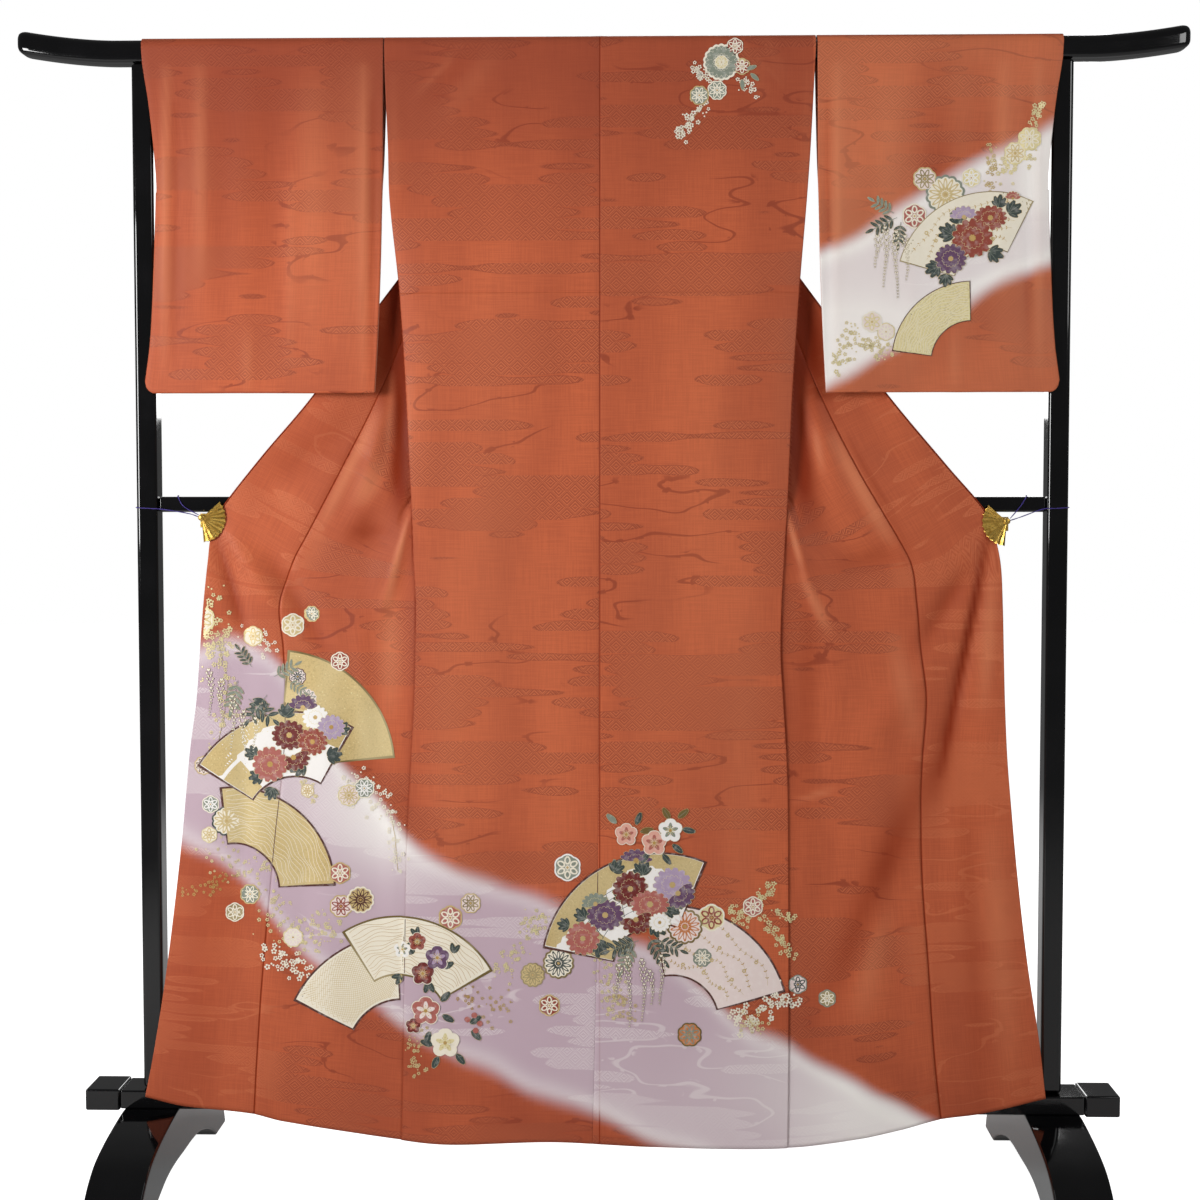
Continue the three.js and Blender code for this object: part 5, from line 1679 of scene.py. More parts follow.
def spray(fig: Figures, path: Sequence[Pair], spread: float, count: int, paint: Paint,
          seed: int, size: float = 3.3, stem: Paint | None = None) -> None:
    """Scatter of tiny blossoms along a path.

    Args:
        fig: figures to draw in.
        path: points along the spray.
        spread: how far the blossoms stray from the path.
        count: how many blossoms.
        paint: their paint.
        seed: seed of the scatter.
        size: radius of a blossom.
        stem: paint of a stem along the path, if it has one.
    """
    pick = random.Random(seed)
    if stem is not None:
        fig.line(list(path), 0.6, stem, 0.2)
    for _ in range(count):
        at = pick.random() * (len(path) - 1)
        i = min(int(at), len(path) - 2)
        x = lerp(path[i][0], path[i + 1][0], at - i) + pick.gauss(0, spread)
        z = lerp(path[i][1], path[i + 1][1], at - i) + pick.gauss(0, spread)
        if pick.random() < 0.7:
            Flower(x, z, size * pick.uniform(0.75, 1.15), 0.4).cluster(fig, paint)
        else:
            fig.dot(x, z, size * 0.36, paint, 0.4, 6)


def wisteria(fig: Figures, x: float, z: float, length: float, paint: Paint, layer: float = 4.0) -> None:
    """Hanging raceme of small paired petals that shrink towards its tip."""
    pairs = round(length / 4.4)
    for i in range(pairs):
        t = i / pairs
        sway = 2.2 * math.sin(t * 5 + x)
        size = lerp(4.6, 2.2, t)
        half = lerp(6.0, 1.6, t) * (0.6 + 0.4 * math.sin(math.pi * min(t * 2.4, 1)))
        for side in (-1, 1):
            px, pz = x + sway + side * half * (1 if i % 2 else 0.55), z - i * 4.4
            angle = -math.pi / 2 - side * 0.5
            fig.petal(px, pz, angle, 0, size, size * 0.66, Paint.OLIVE, layer)
            fig.petal(px, pz - 0.3, angle, 0.3, size - 0.6, size * 0.46, paint, layer + 0.6)


class Pattern(Enum):
    """What fills a fan's paper."""
    PLAIN = 0
    WAVES = 1
    NET = 2
    SPRIGS = 3
    CLOUDS = 4


@dataclass
class Fan:
    """Fan-shaped paper with an outline and a small all-over pattern."""
    x: float
    z: float
    outer: float
    inner: float
    start: float
    end: float
    paper: Paint
    edge: Paint
    layer: float
    pattern: Pattern = Pattern.PLAIN
    line: float = 2.7

    def at(self, share: float, angle: float) -> Pair:
        """Point of the paper: share of the way outwards, and share of the way round."""
        r = lerp(self.inner, self.outer, share)
        a = math.radians(lerp(self.start, self.end, angle))
        return self.x + r * math.cos(a), self.z + r * math.sin(a)

    def draw(self, fig: Figures) -> None:
        """Draw the outline, the paper and its pattern."""
        grow = math.degrees(self.line / self.outer)
        fig.sector(self.x, self.z, (self.inner - self.line, self.outer + self.line),
                   (self.start - grow * 1.4, self.end + grow * 1.4), self.edge, self.layer)
        fig.sector(self.x, self.z, (self.inner, self.outer), (self.start, self.end), self.paper,
                   self.layer + 0.8)
        fill = {Pattern.PLAIN: self.plain, Pattern.WAVES: self.waves, Pattern.NET: self.net,
                Pattern.SPRIGS: self.sprigs, Pattern.CLOUDS: self.clouds}[self.pattern]
        fill(fig)

    def covers(self, x: float, z: float) -> bool:
        """Whether a point lies on the paper."""
        reach = math.hypot(x - self.x, z - self.z)
        angle = math.degrees(math.atan2(z - self.z, x - self.x))
        return self.inner <= reach <= self.outer and self.start <= angle <= self.end

    def seam(self, fig: Figures, where: Callable[[float], float]) -> None:
        """Draw the painted shade of the seam that runs under the paper as a dark line across it."""
        heights = [self.z + step for step in range(0, round(self.outer), 3)]
        run = [(where(z), z) for z in heights if self.covers(where(z), z)]
        if len(run) > 2:
            fig.line(run, 1.1, Paint.BROWN, self.layer + 2.6)

    def plain(self, fig: Figures) -> None:
        """Fine gold dust."""
        pick = random.Random(round(self.x))
        for _ in range(160):
            x, z = self.at(pick.uniform(0.04, 0.96), pick.uniform(0.03, 0.97))
            fig.dot(x, z, pick.uniform(0.4, 0.9), Paint.PALE_GOLD, self.layer + 1.4, 5)

    def waves(self, fig: Figures) -> None:
        """Flowing water: bundles of wavy lines with small crests."""
        ink = Paint.GOLD if self.paper is Paint.CREAM else Paint.CREAM
        for k in range(15):
            share = 0.05 + 0.9 * k / 14
            points = []
            for t in even(44):
                swing = 0.032 * math.sin(t * 23 + 1.7 * math.sin(k * 0.7)) + 0.02 * math.sin(t * 9 + k * 0.3)
                points.append(self.at(clamp(share + swing, 0.02, 0.98), 0.02 + 0.96 * t))
            fig.line(points, 0.55, ink, self.layer + 1.4)

    def net(self, fig: Figures) -> None:
        """Fine crossed net."""
        wide = math.radians(self.end - self.start) * (self.outer + self.inner) / 2
        tall = self.outer - self.inner
        count = round((wide + tall) / 4.2)
        ink = Paint.SAND if self.paper is Paint.CREAM else Paint.CREAM
        for way in (-1, 1):
            for k in range(count):
                run = []
                for s in even(12):
                    u = (k * 4.2 - tall * 0.5 + way * (s - 0.5) * tall) / wide
                    if 0.015 <= u <= 0.985:
                        run.append(self.at(0.03 + 0.94 * s, u))
                if len(run) > 2:
                    fig.line(run, 0.5, ink, self.layer + 1.2 + 0.2 * way)

    def sprigs(self, fig: Figures) -> None:
        """Trailing vines with tiny gold leaves and blossoms."""
        for row in range(4):
            share = 0.16 + 0.22 * row
            stem = [self.at(share + 0.05 * math.sin(t * 14 + row * 2), 0.06 + 0.88 * t) for t in even(40)]
            fig.line(stem, 0.4, Paint.SAND, self.layer + 1.4)
            for i in range(2, 40, 2):
                (x0, z0), (x1, z1) = stem[i - 1], stem[i]
                angle = math.atan2(z1 - z0, x1 - x0)
                for side in (-1, 1):
                    fig.petal(x1, z1, angle + side * 0.9, 0.2, 3.2, 1.3, Paint.GOLD, self.layer + 1.6)
            for t in (0.2, 0.5, 0.8):
                x, z = self.at(share, 0.06 + 0.88 * t)
                Flower(x, z, 3.4, self.layer + 2.2).cluster(fig, Paint.SAND, 6)

    def clouds(self, fig: Figures) -> None:
        """Gold mist along the outer edge and at one end, with gold dust."""
        span = self.outer - self.inner
        fig.sector(self.x, self.z, (self.inner + span * 0.70, self.outer - 0.4),
                   (self.start + 0.4, self.end - 0.4), Paint.SAND, self.layer + 1.3, wave=span * 0.09)
        fig.sector(self.x, self.z, (self.inner + 0.4, self.inner + span * 0.55),
                   (lerp(self.start, self.end, 0.8), self.end - 0.4), Paint.SAND, self.layer + 1.3)
        pick = random.Random(round(self.z))
        for _ in range(110):
            x, z = self.at(pick.uniform(0.76, 0.97), pick.uniform(0.03, 0.97))
            fig.dot(x, z, pick.uniform(0.4, 0.8), Paint.PALE_GOLD, self.layer + 1.9, 5)


@dataclass
class Decoration:
    """The garment's shaded fans and flowers, laid out over hem, right sleeve and shoulder."""
    flower_scale: float = 1.12

    def chrysanthemums(self, fig: Figures,
                       rows: Iterable[tuple[float, float, float, Paint, float, float, float]],
                       layer: float) -> None:
        """Draw rows of (x, z, radius, paint, squash, turn, sweep), each a little higher than the last."""
        for i, (x, z, r, paint, squash, turn, sweep) in enumerate(rows):
            flower = Flower(x, z, r * self.flower_scale, layer + i * 1.3)
            flower.chrysanthemum(fig, paint, squash=squash, turn=turn, sweep=sweep)

    def roundels(self, fig: Figures, rows: Iterable[tuple[float, float, float, Paint, Paint, Paint, int]],
                 layer: float = 1.0) -> None:
        """Draw rows of (x, z, radius, rim, field, petal, petals)."""
        for i, (x, z, r, rim, field_, petal, petals) in enumerate(rows):
            Flower(x, z, r, layer + (i % 3) * 0.4).roundel(fig, rim, field_, petal, petals)

    def lobed_leaves(self, fig: Figures, rows: Iterable[tuple[float, float, float, float]]) -> None:
        """Draw rows of (x, z, radius, angle) under the flowers."""
        for x, z, r, angle in rows:
            Flower(x, z, r, 8).lobed_leaf(fig, angle)

    def left_skirt(self) -> bpy.types.Object:
        """Fans, flowers and sprays of the left front and the left of the back."""
        fig = Figures("figures_left_skirt", skirt_surface, on_skirt)
        full, p = 2 * math.pi, Paint
        for seam, fans in (
                (2, (Fan(-462, 618, 166, 86, 6, 84, p.SAND, p.OLIVE, 0, Pattern.PLAIN),
                     Fan(-528, 441, 146, 68, 4, 96, p.SAND, p.BROWN, 1, Pattern.WAVES),
                     Fan(-437, 531, 165, 75, 61, 147, p.WHITE, p.BROWN, 4, Pattern.CLOUDS))),
                (1, (Fan(-283, 203, 174, 82, 94, 153, p.CREAM, p.BROWN, 1, Pattern.NET),
                     Fan(-288, 250, 152, 71, 31, 121, p.CREAM, p.OLIVE, 4, Pattern.WAVES)))):
            for fan in fans:
                fan.draw(fig)
                fan.seam(fig, lambda z, column=seam: seam_x(Side.LEFT, column, z))
        self.lobed_leaves(fig, (
            (-424, 622, 20, 3.6), (-452, 690, 18, 1.3), (-486, 606, 17, 3.4), (-470, 588, 16, 4.4),
            (-390, 634, 18, 0.2), (-374, 668, 16, 0.9), (-494, 634, 16, 2.6)))
        self.chrysanthemums(fig, (
            (-408, 690, 17, p.WHITE, 0.95, 0.4, full), (-426, 704, 19, p.PURPLE, 0.9, 0.2, math.pi),
            (-385, 676, 18, p.LAVENDER, 0.9, 0.1, full), (-446, 664, 23, p.RED, 0.85, 0.3, full),
            (-412, 655, 20, p.RUST, 0.9, 0.8, full), (-440, 632, 22, p.RED, 0.8, 3.4, math.pi * 1.2),
            (-474, 622, 23, p.ROSE, 1.0, 0.5, full)), 10)
        for x, z, r, a in ((-266, 352, 17, 2.2), (-225, 330, 18, 0.5), (-246, 310, 17, 4.4),
                           (-284, 318, 16, 3.3), (-210, 352, 15, 0.9), (-262, 376, 14, 1.5)):
            for angle in (a, a + 0.8):
                Flower(x, z, r, 8).leaf(fig, angle, p.SLATE, 0.55)
        for x, z, r, paint, inner in ((-262, 368, 14, p.RUST, p.RED), (-233, 345, 19, p.PURPLE, p.LAVENDER),
                                      (-254, 322, 18, p.RED, p.RUST), (-284, 356, 13, p.WHITE, p.SAGE),
                                      (-250, 268, 22, p.ROSE, p.BLUSH), (-222, 222, 22, p.CREAM, p.PALE_GOLD),
                                      (-268, 246, 12, p.RED, p.ROSE)):
            Flower(x, z, r, 10).blossom(fig, paint, inner)
        for x, z, a in ((-228, 282, 0.8), (-226, 262, -0.5), (-244, 238, -1.9), (-240, 218, 2.8),
                        (-232, 202, -2.0), (-206, 206, -0.9), (-186, 250, 0.6), (-184, 240, -0.8)):
            Flower(x, z, 19, 5).leaf(fig, a, p.SLATE, 0.55)
        for x, z in ((-180, 262), (-172, 250), (-190, 256), (-178, 240)):
            fig.disc(x, z, 4.2, p.ROSE, 7)
        for x, z, r, a, paint in ((-505, 716, 46, -0.7, p.SLATE), (-520, 742, 40, -1.8, p.SAGE),
                                  (-478, 722, 44, -2.2, p.SLATE), (-468, 748, 34, 0.5, p.SAGE),
                                  (-500, 762, 30, 2.2, p.SLATE), (-448, 742, 28, -0.6, p.SAGE)):
            Flower(x, z, r, 7).frond(fig, a, 9, paint)
        for x, z, length in ((-528, 722, 84), (-512, 700, 70), (-544, 746, 66), (-496, 690, 52),
                             (-560, 760, 72)):
            wisteria(fig, x, z, length, p.CREAM, 8)
        self.roundels(fig, (
            (-441, 822, 17, p.CREAM, p.SAND, p.CREAM, 6), (-414, 838, 12, p.SAND, p.SAGE, p.CREAM, 8),
            (-373, 770, 14, p.CREAM, p.RUST, p.CREAM, 6), (-537, 540, 22, p.SLATE, p.CREAM, p.SAND, 12),
            (-560, 564, 13, p.CREAM, p.SAGE, p.WHITE, 6), (-373, 466, 16, p.SAND, p.ROSE, p.CREAM, 6),
            (-372, 418, 17, p.SAND, p.BLUSH, p.RUST, 8), (-344, 427, 20, p.CREAM, p.SAND, p.BROWN, 12),
            (-504, 434, 15, p.SAND, p.SAGE, p.CREAM, 8), (-526, 408, 14, p.CREAM, p.OLIVE, p.CREAM, 6),
            (-214, 403, 18, p.SAND, p.ROSE, p.CREAM, 6), (-185, 424, 15, p.SAND, p.BLUSH, p.OLIVE, 8),
            (-338, 588, 15, p.CREAM, p.SAGE, p.WHITE, 8), (-360, 578, 16, p.PALE_GOLD, p.BLUSH, p.SAND, 10),
            (-421, 716, 17, p.SAND, p.BLUSH, p.SAGE, 12), (-434, 748, 13, p.BROWN, p.BLUSH, p.SLATE, 10),
            (-574, 830, 22, p.PALE_GOLD, p.CREAM, p.SAND, 8),
            (-562, 520, 12, p.PALE_GOLD, p.CREAM, p.SAND, 6),
            (-570, 620, 14, p.SAND, p.BLUSH, p.OLIVE, 10), (-498, 806, 15, p.SAND, p.CREAM, p.SAND, 6),
            (-442, 372, 15, p.PALE_GOLD, p.BLUSH, p.CREAM, 8), (-420, 584, 10, p.SAND, p.CREAM, p.GOLD, 6)))
        spray(fig, ((-592, 866), (-566, 848), (-560, 800), (-566, 770)), 17, 150, p.PALE_GOLD, 3, 3.9)
        spray(fig, ((-548, 800), (-534, 740), (-540, 690), (-552, 640)), 8, 70, p.PALE_GOLD, 5, 3.2, p.OLIVE)
        spray(fig, ((-508, 822), (-490, 800), (-470, 790)), 9, 36, p.CREAM, 6, 3.4)
        spray(fig, ((-366, 592), (-338, 580), (-318, 572)), 15, 60, p.CREAM, 7, 3.7)
        spray(fig, ((-302, 560), (-294, 520), (-290, 470)), 7, 42, p.CREAM, 8, 3.2, p.SAND)
        spray(fig, ((-556, 500), (-520, 470), (-470, 480), (-480, 440)), 12, 80, p.PALE_GOLD, 9, 2.6)
        spray(fig, ((-600, 432), (-560, 446), (-530, 462)), 6, 40, p.GOLD, 10, 2.6)
        spray(fig, ((-478, 420), (-450, 380), (-400, 372), (-392, 396)), 14, 120, p.PALE_GOLD, 11, 3.0)
        spray(fig, ((-486, 330), (-470, 345), (-440, 335), (-428, 318)), 9, 46, p.CREAM, 12, 4.4)
        spray(fig, ((-430, 600), (-412, 588), (-420, 570)), 5, 20, p.PALE_GOLD, 13, 3.0)
        spray(fig, ((-236, 300), (-200, 296), (-160, 262), (-128, 284)), 11, 60, p.GOLD, 14, 2.8)
        spray(fig, ((-262, 240), (-268, 210), (-262, 180)), 8, 40, p.SAND, 15, 3.0)
        return fig.drape()

    def centre_skirt(self) -> bpy.types.Object:
        """Fans, flowers and sprays of the middle and right of the back."""
        fig = Figures("figures_centre_skirt", skirt_surface, on_skirt)
        full, p = 2 * math.pi, Paint
        right = Fan(104, 255, 165, 68, 16, 99, p.BLUSH, p.BROWN, 0, Pattern.SPRIGS)
        right.draw(fig)
        right.seam(fig, lambda z: seam_x(Side.RIGHT, 1, z))
        Flower(122, 392, 26, 3).roundel(fig, p.OLIVE, p.BLUSH, p.ORANGE, 14)
        main = Fan(86, 328, 168, 69, 68, 168, p.WHITE, p.BROWN, 4, Pattern.CLOUDS)
        main.draw(fig)
        main.seam(fig, lambda z: along(CENTRE_LINE, 1, z))
        self.lobed_leaves(fig, (
            (36, 430, 20, 2.0), (92, 418, 22, 0.2), (0, 372, 22, 4.6), (30, 372, 20, 5.4),
            (76, 396, 20, -0.7), (62, 466, 19, 1.7), (104, 430, 18, -1.2), (-20, 402, 17, 2.3),
            (20, 470, 17, 1.0), (-44, 392, 15, 2.9)))
        for i in range(7):
            a = math.radians(168 - 9 * i)
            start = (86 + 92 * math.cos(a), 328 + 92 * math.sin(a))
            end = (86 + 134 * math.cos(a - 0.12), 328 + 134 * math.sin(a - 0.12))
            fig.line([start, end], 0.7, p.SLATE, 6.6)
        for k in range(5):
            r = 94 + 10 * k
            arc = [(86 + r * math.cos(math.radians(t)), 328 + r * math.sin(math.radians(t)))
                   for t in range(112, 168, 4)]
            fig.line(arc, 0.7, p.SLATE, 6.8)
        self.chrysanthemums(fig, (
            (52, 487, 21, p.PURPLE, 0.7, 0.1, math.pi), (104, 452, 25, p.LAVENDER, 0.9, 0.5, full),
            (112, 440, 22, p.PURPLE, 0.9, 4.2, math.pi), (44, 446, 23, p.RED, 1.0, 0.2, full),
            (72, 424, 25, p.ROSE, 0.72, 0.4, full), (52, 402, 21, p.RED, 0.9, 3.4, math.pi * 1.2),
            (8, 408, 24, p.PURPLE, 0.85, 0.6, full), (-6, 424, 18, p.SAGE, 0.8, 0.6, math.pi),
            (-24, 374, 22, p.ROSE, 1.0, 0.3, full), (86, 398, 14, p.WHITE, 0.9, 0.3, full)), 10)
        for x, z, r, paint, inner in ((38, 524, 17, p.PINK, p.ROSE), (78, 512, 19, p.PINK, p.ROSE),
                                      (101, 530, 18, p.WHITE, p.SAGE)):
            Flower(x, z, r, 14).blossom(fig, paint, inner)
        for x, z, a, paint in ((52, 538, 1.2, p.SLATE), (58, 528, 0.2, p.OLIVE), (100, 546, 2.1, p.OLIVE),
                               (112, 548, 0.7, p.OLIVE), (118, 532, -0.2, p.SLATE), (70, 498, -2.2, p.SLATE),
                               (90, 496, -0.9, p.SLATE), (24, 540, 2.4, p.SAGE), (104, 510, -0.7, p.SLATE)):
            Flower(x, z, 19, 11).leaf(fig, a, paint, 0.5)
        for x, z, r, a, paint in ((56, 372, 44, 3.5, p.SLATE), (70, 378, 40, -1.0, p.SLATE),
                                  (48, 366, 38, 4.3, p.SAGE), (82, 372, 36, -0.4, p.SLATE)):
            Flower(x, z, r, 9).frond(fig, a, 9, paint)
        for x, z, length in ((42, 350, 104), (62, 346, 92), (88, 352, 74), (26, 338, 58), (74, 330, 52)):
            wisteria(fig, x, z, length, p.CREAM, 10)
        self.roundels(fig, (
            (-46, 476, 20, p.WHITE, p.SAGE, p.CREAM, 6), (-59, 338, 23, p.OLIVE, p.CREAM, p.SLATE, 14),
            (-96, 321, 18, p.OLIVE, p.SAND, p.OLIVE, 12), (-72, 277, 16, p.SAND, p.RUST, p.CREAM, 6),
            (129, 236, 18, p.OLIVE, p.ORANGE, p.SAGE, 8), (219, 421, 15, p.CREAM, p.ROSE, p.CREAM, 6),
            (160, 405, 20, p.CREAM, p.PALE_GOLD, p.RUST, 6), (147, 347, 14, p.SAGE, p.SAGE, p.CREAM, 8),
            (284, 308, 14, p.SAGE, p.BLUSH, p.SLATE, 6), (326, 288, 13, p.SAGE, p.OLIVE, p.CREAM, 6)))
        spray(fig, ((-142, 322), (-120, 352), (-104, 388), (-84, 404)), 8, 80, p.PALE_GOLD, 21, 3.2)
        spray(fig, ((4, 344), (14, 300), (18, 262)), 8, 60, p.PALE_GOLD, 22, 2.8)
        spray(fig, ((20, 300), (40, 280), (36, 258)), 7, 36, p.SAND, 23, 2.8)
        spray(fig, ((246, 458), (238, 440), (222, 424), (240, 396), (260, 372), (274, 352)), 5, 70,
              p.PALE_GOLD, 24, 3.6, p.SAND)
        spray(fig, ((186, 418), (204, 404), (182, 392)), 7, 34, p.PALE_GOLD, 25, 3.4)
        spray(fig, ((248, 414), (262, 408), (276, 404)), 4, 20, p.PALE_GOLD, 26, 3.4)
        spray(fig, ((196, 270), (216, 262), (240, 276), (262, 284), (286, 290)), 9, 66, p.CREAM, 27, 4.6,
              p.SAND)
        spray(fig, ((200, 256), (222, 250), (236, 252)), 7, 26, p.PALE_GOLD, 28, 3.2)
        return fig.drape()

    def right_sleeve(self) -> bpy.types.Object:
        """Fans and flowers of the right sleeve."""
        fig = Figures("figures_right_sleeve", sleeve_surface, on_sleeve)
        full, p = 2 * math.pi, Paint
        Fan(524, 1197, 111, 57, 92, 172, p.PALE_GOLD, p.BROWN, 1, Pattern.WAVES, 1.2).draw(fig)
        Fan(550, 1302, 131, 53, 64, 164, p.CREAM, p.OLIVE, 4, Pattern.SPRIGS, 1.2).draw(fig)
        self.lobed_leaves(fig, (
            (498, 1372, 20, 2.6), (506, 1390, 18, 1.8), (548, 1350, 18, -0.4), (478, 1330, 18, 3.6),
            (574, 1404, 18, 0.6), (488, 1318, 15, 4.6), (560, 1412, 15, 1.4)))
        self.chrysanthemums(fig, (
            (512, 1398, 18, p.LAVENDER, 0.8, 0.3, math.pi), (549, 1397, 21, p.RUST, 0.75, 0.4, full),
            (524, 1369, 26, p.RUST, 0.95, 0.2, full), (494, 1340, 20, p.PURPLE, 0.95, 0.5, full),
            (580, 1424, 10, p.ROSE, 0.9, 0.2, math.pi)), 10)
        Flower(486, 1430, 28, 1).roundel(fig, p.SAGE, p.CREAM, p.SAND, 14)
        self.roundels(fig, (
            (457, 1452, 17, p.SAND, p.BLUSH, p.OLIVE, 8), (522, 1453, 14, p.CREAM, p.PALE_GOLD, p.WHITE, 6),
            (443, 1400, 18, p.CREAM, p.ROSE, p.CREAM, 6), (583, 1487, 16, p.PALE_GOLD, p.CREAM, p.SAND, 8),
            (603, 1507, 17, p.PALE_GOLD, p.PALE_GOLD, p.CREAM, 8),
            (384, 1252, 15, p.CREAM, p.BLUSH, p.PALE_GOLD, 6),
            (404, 1238, 13, p.PALE_GOLD, p.BLUSH, p.CREAM, 6)))
        for x, z, r, a, paint in ((418, 1398, 36, 3.6, p.SLATE), (414, 1404, 32, 2.6, p.SAGE),
                                  (424, 1392, 30, 4.6, p.SLATE)):
            Flower(x, z, r, 5).frond(fig, a, 9, paint)
        for x, z, length in ((402, 1386, 88), (418, 1380, 96), (432, 1374, 64), (390, 1374, 48)):
            wisteria(fig, x, z, length, p.CREAM, 7)
        spray(fig, ((618, 1552), (612, 1532), (600, 1512)), 4, 40, p.PALE_GOLD, 31, 3.2)
        spray(fig, ((596, 1500), (584, 1474), (560, 1462)), 10, 70, p.PALE_GOLD, 32, 3.4)
        spray(fig, ((548, 1500), (550, 1470), (548, 1440)), 4, 34, p.SAND, 33, 3.0)
        spray(fig, ((336, 1198), (352, 1222), (366, 1238)), 9, 60, p.PALE_GOLD, 34, 3.4)
        spray(fig, ((376, 1222), (400, 1212), (426, 1218)), 8, 56, p.PALE_GOLD, 35, 3.2)
        return fig.drape()

    def shoulder(self) -> bpy.types.Object:
        """Flowers on the right shoulder of the back."""
        fig = Figures("figures_shoulder", shoulder_surface, on_skirt)
        p = Paint
        fig.disc(171, 1616, 26, p.CREAM, 0.4, lobes=18, depth=0.06)
        fig.disc(171, 1616, 23, p.SAGE, 1.0, lobes=18, depth=0.06)
        Flower(171, 1616, 22, 1.6).chrysanthemum(fig, p.SAGE, Paint.CREAM, 18)
        Flower(171, 1616, 10, 5.5).roundel(fig, p.CREAM, p.PALE_GOLD, p.CREAM, 8)
        self.roundels(fig, (
            (190, 1638, 12, p.CREAM, p.RUST, p.CREAM, 6), (165, 1577, 14, p.CREAM, p.SAGE, p.CREAM, 8),
            (140, 1570, 14, p.SAND, p.SAGE, p.CREAM, 8), (200, 1610, 12, p.SAND, p.RUST, p.CREAM, 6)))
        for x, z, a in ((206, 1606, 0.3), (212, 1600, -0.7), (200, 1592, -1.5)):
            Flower(x, z, 15, 2).leaf(fig, a, p.SAGE, 0.45)
        spray(fig, ((132, 1612), (140, 1600), (154, 1592)), 4, 26, p.CREAM, 41, 3.4, p.SAND)
        spray(fig, ((150, 1560), (136, 1544), (120, 1528), (110, 1508)), 6, 44, p.CREAM, 42, 3.6, p.SAND)
        spray(fig, ((194, 1596), (206, 1580), (226, 1568)), 5, 22, p.CREAM, 43, 3.2)
        return fig.drape()

    def build(self) -> list[bpy.types.Object]:
        """Draw every part of the decoration."""
        for paint in Paint:
            paint.material()
        return [self.left_skirt(), self.centre_skirt(), self.right_sleeve(), self.shoulder()]


# ------------------------------------------------------------------ stand

